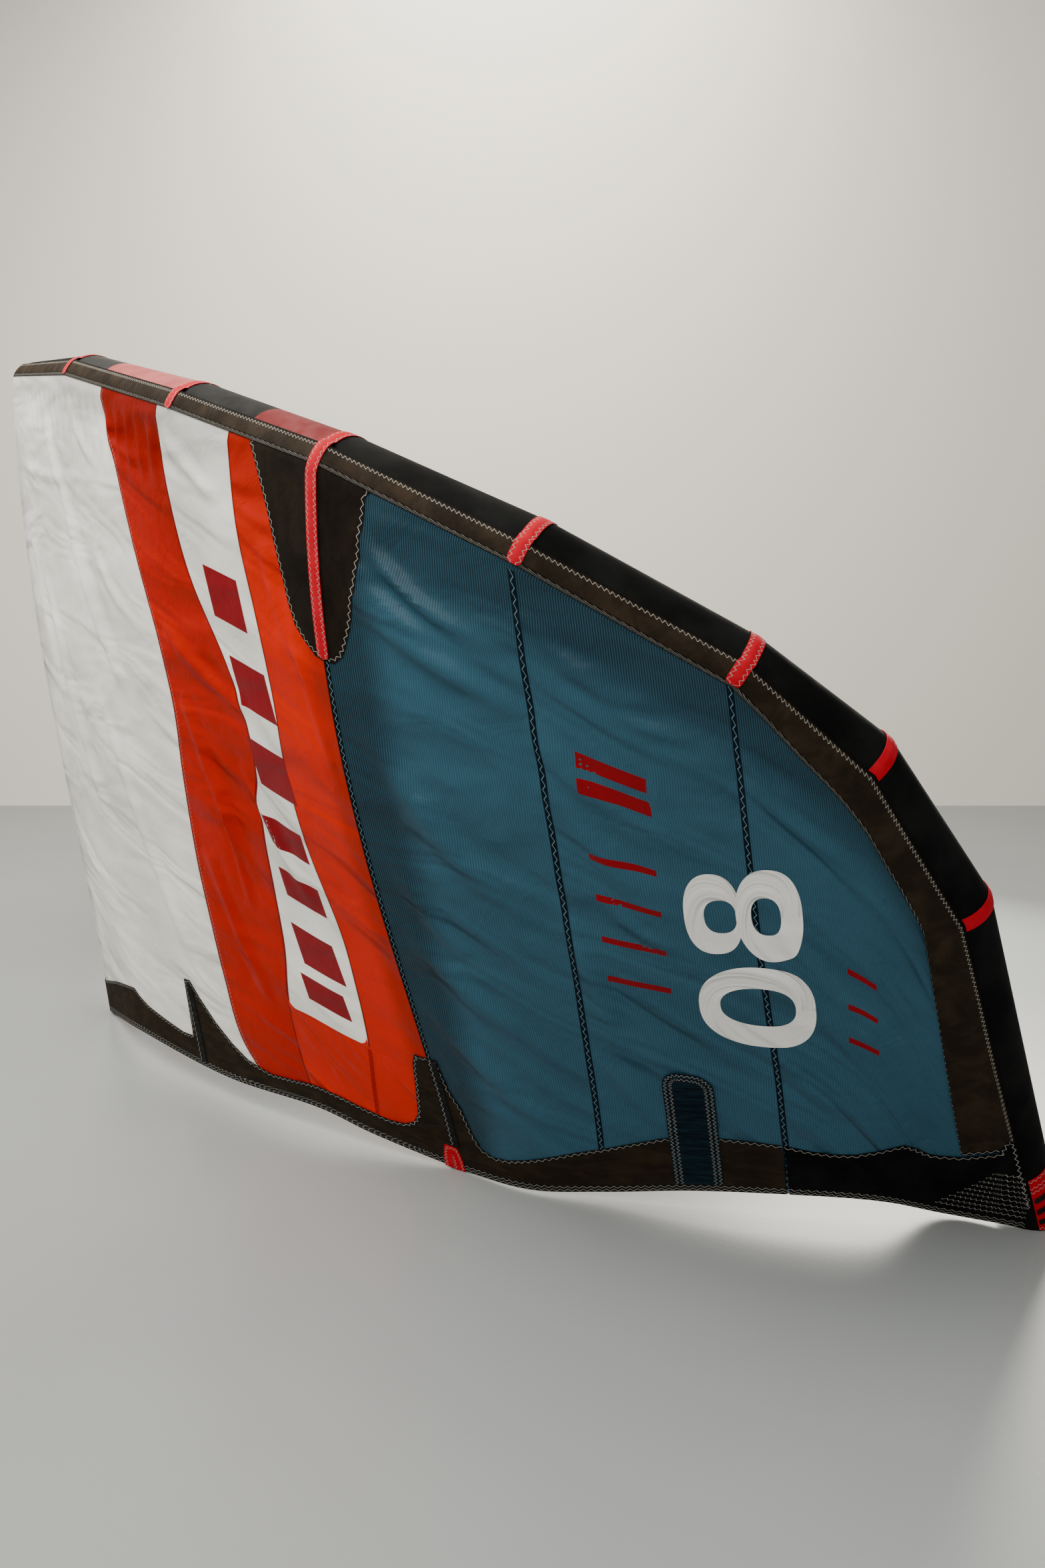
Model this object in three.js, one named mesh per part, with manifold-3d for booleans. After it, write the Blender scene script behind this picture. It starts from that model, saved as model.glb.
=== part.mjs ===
// An inflated kitesurfing kite that stands on its trailing edge: a mitred leading-edge tube, three struts
// on the inner side, a canopy of sewn panels, and the strips, patches, tapes and pockets sewn on them.
// Millimetres, +Z up, the floor at Z = 0. X runs along the span and the kite is symmetric about X = 0.
// The canopy's outer side faces -Y at the centre, and the wing tips trail towards +Y.
//
// Every sheet is placed by a station, which counts the seams of the leading-edge tube from the centre
// strut (0) to the wing tip (8), and by its share of the chord: 0 where the canopy leaves the tube and 1
// on the trailing edge. A share below 0 lies on the tube, with -1 on the canopy's seam.

import * as THREE from 'three';
import { mergeVertices } from 'three/addons/utils/BufferGeometryUtils.js';
import Module from 'manifold-3d';

const wasm = await Module();
wasm.setup();

// The line where the canopy leaves the leading-edge tube, the tube's radius, how far round the tube the
// canopy's seam lies above that line, in degrees, and how far the canopy bows out of its chord.
const STATIONS = [
  { at: 0, x: 0, y: -172, z: 1740, radius: 67, wrap: 52, camber: 33 },
  { at: 1, x: 689, y: -59, z: 1624, radius: 66, wrap: 47, camber: 30 },
  { at: 2, x: 1235, y: 103, z: 1472, radius: 65, wrap: 47, camber: 22 },
  { at: 3, x: 1620, y: 283, z: 1346, radius: 63, wrap: 38, camber: 66 },
  { at: 4, x: 1891, y: 513, z: 1184, radius: 61, wrap: 39, camber: 13 },
  { at: 5, x: 2049, y: 788, z: 1017, radius: 59, wrap: 36, camber: 9 },
  { at: 6, x: 2105, y: 987, z: 876, radius: 58, wrap: 11, camber: 6 },
  { at: 7, x: 2089, y: 1188, z: 636, radius: 57, wrap: 4, camber: 3 },
  { at: 8, x: 1962, y: 1500, z: 32, radius: 52, wrap: 4, camber: 0.3 },
];
const TIP = 8;
const TIP_EDGE = 7.96;
const STRUT = 3;

// The trailing edge, which touches the floor at the struts and the tip and rises between them.
const TRAILING_EDGE = [
  { at: 0, x: 0, y: 0, z: 5 },
  { at: 0.6, x: 381, y: 59, z: 63 },
  { at: 1.35, x: 772, y: 228, z: 54 },
  { at: 2, x: 1040, y: 388, z: 58 },
  { at: 2.45, x: 1165, y: 479, z: 34 },
  { at: 3, x: 1324, y: 611, z: 6 },
  { at: 3.5, x: 1466, y: 711, z: 6 },
  { at: 4, x: 1554, y: 836, z: 18 },
  { at: 4.5, x: 1651, y: 973, z: 40 },
  { at: 5, x: 1748, y: 1122, z: 50 },
  { at: 6, x: 1827, y: 1264, z: 48 },
  { at: 7, x: 1846, y: 1399, z: 8 },
  { at: 8, x: 1952.3, y: 1508.4, z: 7 },
];

// The seams between the canopy panels: the station of each seam at a share of the chord.
const SEAMS = [
  { chord: 0, white: 1.4, red: 1.9, band: 2.45, rib: 4, tip: 5 },
  { chord: 0.1, white: 1.49, red: 1.915, band: 2.455, rib: 4, tip: 5 },
  { chord: 0.2, white: 1.55, red: 1.98, band: 2.51, rib: 4.01, tip: 5 },
  { chord: 0.3, white: 1.605, red: 2.15, band: 2.53, rib: 4.02, tip: 5 },
  { chord: 0.4, white: 1.615, red: 2.215, band: 2.5, rib: 4.025, tip: 5 },
  { chord: 0.5, white: 1.565, red: 2.135, band: 2.515, rib: 4.03, tip: 5.005 },
  { chord: 0.63, white: 1.515, red: 2.08, band: 2.61, rib: 4.03, tip: 5.02 },
  { chord: 0.72, white: 1.505, red: 2.04, band: 2.61, rib: 4.03, tip: 5.03 },
  { chord: 0.82, white: 1.505, red: 1.96, band: 2.585, rib: 4.03, tip: 5.03 },
  { chord: 0.92, white: 1.535, red: 1.955, band: 2.53, rib: 4.02, tip: 5.03 },
  { chord: 1, white: 1.7, red: 2, band: 2.5, rib: 4, tip: 5.01 },
];

// Height of the trailing-edge band above the trailing edge: the centre strut's patch, the inner batten
// pocket, the outer strut's patch and the swell at the outer batten.
const EDGE_BAND = [
  { at: 0, height: 92 },
  { at: 0.3, height: 108 },
  { at: 0.62, height: 118 },
  { at: 0.67, height: 102 },
  { at: 0.75, height: 88 },
  { at: 0.9, height: 76 },
  { at: 1.05, height: 68 },
  { at: 1.13, height: 72 },
  { at: 1.155, height: 225 },
  { at: 1.2, height: 228 },
  { at: 1.25, height: 195 },
  { at: 1.35, height: 141 },
  { at: 1.45, height: 100 },
  { at: 1.55, height: 68 },
  { at: 1.7, height: 50 },
  { at: 1.85, height: 52 },
  { at: 2, height: 58 },
  { at: 2.15, height: 59 },
  { at: 2.3, height: 61 },
  { at: 2.45, height: 61 },
  { at: 2.6, height: 60 },
  { at: 2.7, height: 68 },
  { at: 2.77, height: 84 },
  { at: 2.815, height: 112 },
  { at: 2.84, height: 165 },
  { at: 2.88, height: 255 },
  { at: 2.91, height: 283 },
  { at: 3, height: 288 },
  { at: 3.06, height: 288 },
  { at: 3.09, height: 215 },
  { at: 3.145, height: 172 },
  { at: 3.18, height: 112 },
  { at: 3.22, height: 78 },
  { at: 3.3, height: 64 },
  { at: 3.4, height: 66 },
  { at: 3.55, height: 78 },
  { at: 3.7, height: 90 },
  { at: 3.85, height: 102 },
  { at: 4, height: 112 },
  { at: 4.2, height: 127 },
  { at: 4.4, height: 140 },
  { at: 4.6, height: 145 },
  { at: 4.8, height: 138 },
  { at: 5, height: 131 },
];

// Height of the black tip patch above the trailing edge, up to where it takes in the whole chord.
const TIP_PATCH = [
  { at: 5.02, height: 131 },
  { at: 5.25, height: 120 },
  { at: 5.5, height: 115 },
  { at: 5.75, height: 118 },
  { at: 6, height: 133 },
  { at: 6.4, height: 160 },
  { at: 6.8, height: 158 },
  { at: 7.2, height: 170 },
  { at: 7.6, height: 197 },
];
const TIP_PATCH_FULL = 7.72;

// Stations of the lines that every sheet near the wing tip shares.
const TIP_LINES = [5.25, 5.5, 5.75, 6, 6.2, 6.4, 6.6, 6.8, 7, 7.2, 7.4, 7.6, TIP_PATCH_FULL, 7.84, TIP_EDGE];
// The same for the panel beside the outer strut.
const STRUT_LINES = [3.06, 3.145, 3.22, 3.3, 3.4, 3.55, 3.7, 3.85];

// The dark patch over the outer strut's root: its two edges at a share of the chord.
const STRUT_PATCH = [
  { chord: -0.2, inner: 2.6, outer: 3.3 },
  { chord: 0, inner: 2.62, outer: 3.285 },
  { chord: 0.06, inner: 2.7, outer: 3.243 },
  { chord: 0.1, inner: 2.737, outer: 3.208 },
  { chord: 0.13, inner: 2.762, outer: 3.182 },
  { chord: 0.16, inner: 2.79, outer: 3.155 },
  { chord: 0.186, inner: 2.82, outer: 3.12 },
  { chord: 0.2, inner: 2.87, outer: 3.095 },
  { chord: 0.21, inner: 2.94, outer: 3.05 },
];

// Width of the leading-edge strip below the tube's seam.
const EDGE_STRIP = [
  { at: 0, width: 38 },
  { at: 1, width: 36 },
  { at: 2, width: 33 },
  { at: 3, width: 32 },
  { at: 4, width: 33 },
  { at: 5, width: 37 },
  { at: 5.25, width: 48 },
  { at: 5.5, width: 67 },
  { at: 5.75, width: 82 },
  { at: 6, width: 102 },
  { at: 6.2, width: 126 },
  { at: 6.4, width: 142 },
  { at: 6.6, width: 154 },
  { at: 6.8, width: 250 },
  { at: 7, width: 364 },
  { at: 7.2, width: 404 },
  { at: 7.4, width: 256 },
  { at: 7.6, width: 105 },
  { at: 7.7, width: 78 },
];
const STRIP_OVERLAP = 3;
const STRIP_END = { above: 7.71, below: 7.6 };

// The seam tapes round the tube: how far each tab runs down over the strip, and where the tape ends
// behind the tube, as an angle round it from the line where the canopy leaves.
const TAPES = [
  { at: 1, tab: 34, end: 280 },
  { at: 2, tab: 33, end: 280 },
  { at: 4, tab: 32, end: 280 },
  { at: 5, tab: 33, end: 280 },
  { at: 6, tab: 0, end: 280 },
  { at: 7, tab: 0, end: 280 },
];
const STRAP = { at: STRUT, tab: 335, end: 220 };
const TAPE_WIDTH = 25;
const TAPE_STEP = 42;

// The outer batten pocket.
const POCKET = { at: 4.54, halfWidth: 46, foot: 20, top: 304, corner: 34 };

// The crimson patch round the tube's end at the wing tip, and the webbing loop sewn to it.
const TIP_COVER = { bandStart: 598, bandWidth: 27, start: 13, bandEnd: 280, coverEnd: 120 };
const LOOP = { start: 16, reach: 62, high: 652, low: 682, width: 10, thickness: 3 };

// Levels of the sewn layers above the middle of the canopy's cloth.
const CLOTH = { low: -0.6, high: 0.6 };
const SEWN = { low: 1.8, high: 2.8 };
const TOP = { low: 3.7, high: 4.7 };
const TUBE_GAP = 1.8;
const TAPE_ON_TUBE = { low: 0.5, high: 1.5 };
const TAPE_OFF_SEAM = { low: 5, high: 6 };
const OFF_SEAM_STEP = 7;
const SEAM_GAP = 0.2;
const JOINT_GAP = 0.2;

// Struts: radius at the leading edge and at the trailing edge, and the gap to the canopy's middle.
const STRUT_ROOT_RADIUS = 54;
const STRUT_FOOT_RADIUS = 36;
const STRUT_GAP = 3.4;
const CAP_LENGTH = 57;
const CAP_FLAP_HALF_WIDTH = 24;
const LIP = { start: 1.2, end: 3, low: -12 };
const CUT_DEPTH = 3;

// Where the canopy leaves the tubes' straight lines, as a share of the chord, and how fast camber fades.
const BLEND_REACH = 0.15;
const CURVE_END = 7;
const CAMBER_FADE = 1.8;
const CAMBER_PEAK = 0.1612;

// From the centre strut's foot to the middle of the kite's footprint.
const FOOTPRINT_MIDDLE = 720.2;

const TUBE_SIDES = 18;
const TUBE_STEP = 360 / TUBE_SIDES;
const STRUT_SIDES = 16;
const CHORD_ROWS = [-1, -0.66, -0.33, 0, 0.06, 0.13, 0.21, 0.31, 0.43, 0.57, 0.7, 0.83, 0.93, 1];
const CENTRE_LINES = [0, 0.15, 0.3, 0.45, 0.6, 0.75, 0.9, 1];
const BAND_END = 0.83;

const COLOURS = {
  tube: { color: 0x17191b, roughness: 0.5 },
  tape: { color: 0xd01f36, roughness: 0.6 },
  strip: { color: 0x3a332b, roughness: 0.7 },
  patch: { color: 0x2a2621, roughness: 0.75 },
  edge: { color: 0x362f27, roughness: 0.75 },
  tipPatch: { color: 0x0e0f10, roughness: 0.7 },
  white: { color: 0xd9dbd8, roughness: 0.55 },
  red: { color: 0xc62f10, roughness: 0.55 },
  orange: { color: 0xd8360c, roughness: 0.55 },
  blue: { color: 0x2c5261, roughness: 0.55 },
  pocket: { color: 0x14303c, roughness: 0.7 },
  strut: { color: 0x1b1d20, roughness: 0.55 },
};

// Value of a named column of a table, eased through its rows by cubic curves with the rows' mean slopes.
function readTable(table, key, column, at) {
  const last = table.length - 2;
  let row = 0;
  while (row < last && at > table[row + 1][key]) {
    row += 1;
  }
  const slope = (index) => {
    const before = table[Math.max(index - 1, 0)];
    const after = table[Math.min(index + 1, table.length - 1)];
    return (after[column] - before[column]) / (after[key] - before[key]);
  };
  const from = table[row];
  const to = table[row + 1];
  const step = to[key] - from[key];
  const t = (at - from[key]) / step;
  const rise = to[column] - from[column];
  const bend = t * (1 - t) * step;
  return from[column] + rise * t * t * (3 - 2 * t) + bend * ((1 - t) * slope(row) - t * slope(row + 1));
}

// The same with straight lines between the rows.
function readStraight(table, key, column, at) {
  const last = table.length - 2;
  let row = 0;
  while (row < last && at > table[row + 1][key]) {
    row += 1;
  }
  const from = table[row];
  const to = table[row + 1];
  const t = THREE.MathUtils.clamp((at - from[key]) / (to[key] - from[key]), 0, 1);
  return from[column] + (to[column] - from[column]) * t;
}

function pointFrom(read, table, at) {
  return new THREE.Vector3(
    read(table, 'at', 'x', at),
    read(table, 'at', 'y', at),
    read(table, 'at', 'z', at),
  );
}

// The leading edge is straight from bend to bend of the tube, and curved a little way down the canopy.
function leadingEdge(at, chord) {
  const straight = pointFrom(readStraight, STATIONS, at);
  const curved = pointFrom(readTable, STATIONS, at);
  const share = THREE.MathUtils.smoothstep(chord, 0, BLEND_REACH);
  const fade = 1 - THREE.MathUtils.smoothstep(at, CURVE_END - 0.5, CURVE_END);
  return straight.lerp(curved, share * fade);
}

function trailingEdge(at) {
  return pointFrom(readTable, TRAILING_EDGE, at);
}

function chordLength(at) {
  return leadingEdge(at, 0).distanceTo(trailingEdge(at));
}

// Camber rises fast behind the tube, and fades towards the trailing edge. It peaks in a ridge on the strut.
function camberDepth(at) {
  const near = Math.floor(Math.min(at, TIP - 0.001));
  const from = STATIONS[near].camber;
  const to = STATIONS[near + 1].camber;
  const t = at - near;
  const share = to > from ? t ** 1.4 : 1 - (1 - t) ** 1.4;
  return from + (to - from) * share;
}

function camberShape(chord) {
  const share = THREE.MathUtils.clamp(chord, 0, 1);
  return (share * (1 - share) ** CAMBER_FADE) / CAMBER_PEAK;
}

function chordPoint(at, chord) {
  const start = leadingEdge(at, chord);
  return start.lerp(trailingEdge(at), chord);
}

// Outward direction of the chord lines' surface, from its two edges around a station.
function chordNormal(at, chord) {
  const reach = 0.12;
  const before = Math.max(at - reach, 0);
  const after = Math.min(at + reach, TIP);
  const along = chordPoint(after, chord).sub(chordPoint(before, chord));
  if (at < reach) {
    along.y *= at / reach;
    along.z *= at / reach;
  }
  const down = trailingEdge(Math.min(at, TIP_EDGE)).sub(leadingEdge(Math.min(at, TIP_EDGE), 0));
  return down.cross(along).normalize();
}

// A point in the middle of the canopy's cloth. Stations below 0 are the left half's.
function canopyPoint(at, chord) {
  const side = at < 0 ? -1 : 1;
  const station = Math.abs(at);
  if (chord < 0) {
    const point = wrapPoint(station, -chord * wrapAngle(station), TUBE_GAP);
    point.x *= side;
    return point;
  }
  const point = chordPoint(station, chord);
  point.addScaledVector(chordNormal(station, chord), camberDepth(station) * camberShape(chord));
  point.x *= side;
  return point;
}

// The cloth's outward normal.
function canopyNormal(at, chord) {
  if (chord < 0) {
    const station = Math.abs(at);
    const angle = -chord * wrapAngle(station);
    const normal = wrapPoint(station, angle, TUBE_GAP + 1).sub(wrapPoint(station, angle, TUBE_GAP));
    normal.x *= at < 0 ? -1 : 1;
    return normal.normalize();
  }
  const reach = 0.04;
  const rise = 0.012;
  const left = Math.min(at, TIP_EDGE) - reach;
  const right = Math.min(at, TIP_EDGE) + reach;
  const along = canopyPoint(Math.min(right, TIP), chord).sub(canopyPoint(left, chord));
  const middle = THREE.MathUtils.clamp(chord, rise, 1 - rise);
  const above = middle - rise;
  const below = middle + rise;
  const down = canopyPoint(Math.min(at, TIP_EDGE), below).sub(canopyPoint(Math.min(at, TIP_EDGE), above));
  return down.cross(along).normalize();
}

function onCloth(at, chord, level) {
  return canopyPoint(at, chord).addScaledVector(canopyNormal(at, chord), level);
}

// Station that lies some millimetres further along the span.
function shifted(at, chord, distance) {
  const reach = 0.02;
  const perStation = canopyPoint(at + reach, chord).distanceTo(canopyPoint(at - reach, chord)) / (2 * reach);
  return at + distance / perStation;
}

function wrapAngle(at) {
  return readStraight(STATIONS, 'at', 'wrap', at);
}

// Length of cloth that lies on the tube at a station.
function wrapLength(station) {
  const radius = readStraight(STATIONS, 'at', 'radius', station) + TUBE_GAP;
  return radius * THREE.MathUtils.degToRad(wrapAngle(station));
}

// Share of the chord at a distance below the seam, which starts on the tube.
function belowSeam(at, distance) {
  const station = Math.abs(at);
  const onTheTube = wrapLength(station);
  return distance < onTheTube ? distance / onTheTube - 1 : (distance - onTheTube) / chordLength(station);
}

function fromTrailingEdge(at, distance) {
  return 1 - distance / chordLength(Math.abs(at));
}

// Distance from a point of the canopy's seam to the trailing edge.
function seamToEdge(at) {
  return chordLength(at) + wrapLength(at);
}

// A closed sheet between two grids of points that match row by row.
function sheetGeometry(lowGrid, highGrid) {
  const rows = lowGrid.length;
  const columns = lowGrid[0].length;
  const positions = [];
  for (const grid of [lowGrid, highGrid]) {
    for (const line of grid) {
      for (const point of line) {
        positions.push(point.x, point.y, point.z);
      }
    }
  }
  const low = (row, column) => row * columns + column;
  const high = (row, column) => rows * columns + low(row, column);
  const index = [];
  const quad = (a, b, c, d) => index.push(a, b, c, a, c, d);
  for (let row = 0; row < rows - 1; row += 1) {
    for (let column = 0; column < columns - 1; column += 1) {
      quad(high(row, column), high(row, column + 1), high(row + 1, column + 1), high(row + 1, column));
      quad(low(row, column), low(row + 1, column), low(row + 1, column + 1), low(row, column + 1));
    }
    quad(low(row, 0), high(row, 0), high(row + 1, 0), low(row + 1, 0));
    quad(high(row, columns - 1), low(row, columns - 1), low(row + 1, columns - 1), high(row + 1, columns - 1));
  }
  for (let column = 0; column < columns - 1; column += 1) {
    quad(low(0, column), low(0, column + 1), high(0, column + 1), high(0, column));
    quad(low(rows - 1, column + 1), low(rows - 1, column), high(rows - 1, column), high(rows - 1, column + 1));
  }
  return facingOut(positions, index);
}

// A closed body round a stack of rings, with flat ends.
function ringGeometry(rings) {
  const sides = rings[0].length;
  const positions = rings.flat().flatMap((point) => [point.x, point.y, point.z]);
  const index = [];
  for (let ring = 0; ring < rings.length - 1; ring += 1) {
    for (let side = 0; side < sides; side += 1) {
      const next = (side + 1) % sides;
      const a = ring * sides + side;
      const b = ring * sides + next;
      index.push(a, b, b + sides, a, b + sides, a + sides);
    }
  }
  const end = (rings.length - 1) * sides;
  for (let side = 1; side < sides - 1; side += 1) {
    index.push(0, side + 1, side);
    index.push(end, end + side, end + side + 1);
  }
  return facingOut(positions, index);
}

// Six times the volume inside the faces, negative where they point inwards.
function signedVolume(positions, index) {
  const corner = (number) => new THREE.Vector3().fromArray(positions, index[number] * 3);
  let total = 0;
  for (let face = 0; face < index.length; face += 3) {
    total += corner(face).dot(corner(face + 1).cross(corner(face + 2)));
  }
  return total;
}

function facingOut(positions, index) {
  if (signedVolume(positions, index) < 0) {
    for (let face = 0; face < index.length; face += 3) {
      [index[face], index[face + 1]] = [index[face + 1], index[face]];
    }
  }
  const geometry = new THREE.BufferGeometry();
  geometry.setAttribute('position', new THREE.Float32BufferAttribute(positions, 3));
  geometry.setIndex(index);
  return geometry;
}

function solidFrom(geometry) {
  const bare = geometry.clone();
  bare.deleteAttribute('normal');
  bare.deleteAttribute('uv');
  const merged = mergeVertices(bare, 1e-4);
  const mesh = new wasm.Mesh({
    numProp: 3,
    vertProperties: new Float32Array(merged.attributes.position.array),
    triVerts: new Uint32Array(merged.index.array),
  });
  return new wasm.Manifold(mesh);
}

function geometryFrom(solid) {
  const mesh = solid.getMesh();
  const geometry = new THREE.BufferGeometry();
  geometry.setAttribute('position', new THREE.BufferAttribute(new Float32Array(mesh.vertProperties), 3));
  geometry.setIndex(new THREE.BufferAttribute(new Uint32Array(mesh.triVerts), 1));
  return geometry;
}

// A sheet sewn on the canopy: each line lists the stations of one row, and each row its chord share.
function clothSheet(rows, level) {
  const grid = (height) => rows.map((row) => row.map(({ at, chord }) => onCloth(at, chord, height)));
  return sheetGeometry(grid(level.low), grid(level.high));
}

// Stations between two borders, with the whole steps between them kept.
function stationsBetween(from, to, pieces) {
  return Array.from({ length: pieces + 1 }, (_, piece) => from + ((to - from) * piece) / pieces);
}

// Station of a panel seam, which runs straight up where the canopy lies on the tube.
function seamAt(name, chord) {
  return readTable(SEAMS, 'chord', name, Math.max(chord, 0));
}

// A canopy panel between two seams, given as functions of the chord share.
function panelGeometry(leftSeam, rightSeam, pieces, chords = CHORD_ROWS) {
  const rows = chords.map((chord) => {
    const left = shifted(leftSeam(chord), chord, SEAM_GAP);
    const right = shifted(rightSeam(chord), chord, -SEAM_GAP);
    return stationsBetween(left, right, pieces).map((at) => ({ at, chord }));
  });
  return clothSheet(rows, CLOTH);
}

// The white band's first line runs up to the bend of the tube.
function whiteBandGeometry() {
  const chords = [...CHORD_ROWS.filter((chord) => chord < BAND_END), BAND_END - 0.0015];
  const rows = chords.map((chord) => {
    const left = shifted(seamAt('red', chord), chord, SEAM_GAP);
    const right = shifted(seamAt('band', chord), chord, -SEAM_GAP);
    const quarter = left + (right - left) * 0.25;
    const first = THREE.MathUtils.lerp(2, quarter, THREE.MathUtils.smoothstep(chord, 0, 0.25));
    return [left, ...stationsBetween(first, right, 3)].map((at) => ({ at, chord }));
  });
  return clothSheet(rows, CLOTH);
}

// The panel beside the strut shares its lines with the patch and the band sewn on it.
function innerPanelGeometry() {
  const rows = CHORD_ROWS.map((chord) => {
    const left = shifted(STRUT, chord, SEAM_GAP);
    const right = shifted(seamAt('rib', chord), chord, -SEAM_GAP);
    return [left, ...STRUT_LINES, right].map((at) => ({ at, chord }));
  });
  return clothSheet(rows, CLOTH);
}

// The centre panel spans both halves, with a line on each station where the tube bends.
function centrePanelGeometry() {
  const rows = CHORD_ROWS.map((chord) => {
    const border = shifted(seamAt('white', chord), chord, -SEAM_GAP);
    const half = [...CENTRE_LINES, ...stationsBetween(1, border, 3).slice(1)];
    const left = half.slice(1).reverse().map((at) => -at);
    return [...left, ...half].map((at) => ({ at, chord }));
  });
  return clothSheet(rows, CLOTH);
}

function tipPanelGeometry() {
  const rows = CHORD_ROWS.map((chord) => {
    const border = shifted(seamAt('tip', chord), chord, SEAM_GAP);
    return [border, ...TIP_LINES].map((at) => ({ at, chord }));
  });
  return clothSheet(rows, CLOTH);
}

// Frame of the tube at a bend: its centre, the mitre plane's two directions and the tube's own direction.
function tubeCentre({ at, radius }) {
  return onCloth(at, 0, -(radius + TUBE_GAP));
}

const tubeCentres = STATIONS.map(tubeCentre);

function tubeFrame(bend) {
  const toNext = new THREE.Vector3();
  const fromLast = new THREE.Vector3();
  if (bend < TIP) {
    toNext.subVectors(tubeCentres[bend + 1], tubeCentres[bend]).normalize();
  }
  if (bend > 0) {
    fromLast.subVectors(tubeCentres[bend], tubeCentres[bend - 1]).normalize();
  }
  const along = bend === 0 ? new THREE.Vector3(1, 0, 0) : toNext.clone().add(fromLast).normalize();
  const out = canopyNormal(bend, 0);
  out.addScaledVector(along, -out.dot(along)).normalize();
  const up = new THREE.Vector3().crossVectors(along, out);
  const away = leadingEdge(Math.min(bend, TIP - 1), 0).sub(trailingEdge(Math.min(bend, TIP - 1)));
  if (up.dot(away) < 0) {
    up.negate();
  }
  return { centre: tubeCentres[bend], radius: STATIONS[bend].radius, out, up, along: fromLast };
}

const tubeFrames = STATIONS.map((_, seam) => tubeFrame(seam));

// Direction away from the tube's centre, at an angle round it that starts where the canopy leaves it.
function roundTube(frame, degrees) {
  const angle = THREE.MathUtils.degToRad(degrees);
  return frame.out.clone().multiplyScalar(Math.cos(angle)).addScaledVector(frame.up, Math.sin(angle));
}

// A point off the tube's surface, at any station and angle.
function wrapPoint(station, degrees, level) {
  const bend = Math.min(Math.floor(station), TIP - 1);
  const [start, end] = [bend, bend + 1].map((ring) => {
    const frame = tubeFrames[ring];
    return frame.centre.clone().addScaledVector(roundTube(frame, degrees), frame.radius + level);
  });
  return start.lerp(end, station - bend);
}

// A point on a bend's ring. The last ring is slid along the tube on to the floor, for a flat end.
function ringPoint(seam, degrees, grow = 0) {
  const frame = tubeFrames[seam];
  const point = frame.centre.clone().addScaledVector(roundTube(frame, degrees), frame.radius + grow);
  if (seam === TIP) {
    point.addScaledVector(frame.along, -point.z / frame.along.z);
  }
  return point;
}

// A point on the tube near a seam, some millimetres along it and off its surface.
function onTube(seam, degrees, along, level) {
  const start = ringPoint(seam, degrees);
  const other = along < 0 ? seam - 1 : seam + 1;
  if (other > TIP || along === 0) {
    return start.addScaledVector(roundTube(tubeFrames[seam], degrees), level);
  }
  const end = ringPoint(other, degrees);
  const share = Math.abs(along) / start.distanceTo(end);
  return start.lerp(end, share).addScaledVector(roundTube(tubeFrames[seam], degrees), level);
}

function anglesAround(sides) {
  return Array.from({ length: sides }, (_, side) => (side * 360) / sides);
}

// One straight length of the tube from a seam to the next, cut on the seams' planes.
function tubeGeometry(seam, grow = 0, trim = JOINT_GAP) {
  const angles = anglesAround(TUBE_SIDES);
  const first = angles.map((angle) => ringPoint(seam, angle, grow));
  const last = angles.map((angle) => ringPoint(seam + 1, angle, grow));
  const start = first.map((point, side) => {
    const inward = new THREE.Vector3().subVectors(last[side], point).normalize();
    return point.clone().addScaledVector(inward, trim);
  });
  const end = last.map((point, side) => {
    const inward = new THREE.Vector3().subVectors(first[side], point).normalize();
    return seam + 1 === TIP ? point.clone() : point.clone().addScaledVector(inward, trim);
  });
  return ringGeometry([start, end]);
}

// The middle length spans both halves and bends in the symmetry plane.
function centreTubeGeometry(grow = 0) {
  const angles = anglesAround(TUBE_SIDES);
  const middle = angles.map((angle) => ringPoint(0, angle, grow));
  const right = angles.map((angle, side) => {
    const point = ringPoint(1, angle, grow);
    const inward = new THREE.Vector3().subVectors(middle[side], point).normalize();
    return point.addScaledVector(inward, JOINT_GAP);
  });
  const left = right.map((point) => point.clone().setX(-point.x));
  return ringGeometry([left, middle, right]);
}

// The tube's own edges between two angles.
function tubeAngles(from, to) {
  return Array.from({ length: TUBE_SIDES * 2 }, (_, side) => side * TUBE_STEP)
    .filter((degrees) => degrees >= from && degrees <= to);
}

// A seam tape: its tab lies over the strip on the canopy, and the rest follows the tube round.
function tapeGeometry({ at, tab, end }) {
  const half = TAPE_WIDTH / 2;
  const low = [];
  const high = [];
  const addClothRow = (distance, width) => {
    const chord = belowSeam(at, distance);
    const stations = [-width, 0, width].map((offset) => shifted(at, chord, offset));
    low.push(stations.map((station) => onCloth(station, chord, TOP.low)));
    high.push(stations.map((station) => onCloth(station, chord, TOP.high)));
  };
  const addTubeRow = (degrees, level) => {
    low.push([-half, 0, half].map((along) => onTube(at, degrees, along, level.low)));
    high.push([-half, 0, half].map((along) => onTube(at, degrees, along, level.high)));
  };
  const seam = wrapAngle(at);
  if (tab > 0) {
    const onTheTube = Math.min(wrapLength(at), tab - 11);
    const steps = Math.ceil((tab - 11 - onTheTube) / TAPE_STEP);
    const rows = steps > 0 ? stationsBetween(tab - 11, onTheTube, steps).slice(0, -1) : [];
    addClothRow(tab, half * 0.4);
    addClothRow(tab - 4, half * 0.8);
    [...rows, ...stationsBetween(onTheTube, 0, 3)].forEach((distance) => addClothRow(distance, half));
    addTubeRow(seam + OFF_SEAM_STEP, TAPE_OFF_SEAM);
  } else {
    addTubeRow(seam + OFF_SEAM_STEP, TAPE_ON_TUBE);
  }
  tubeAngles(seam + OFF_SEAM_STEP + 4, end).forEach((degrees) => addTubeRow(degrees, TAPE_ON_TUBE));
  return sheetGeometry(low, high);
}

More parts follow.
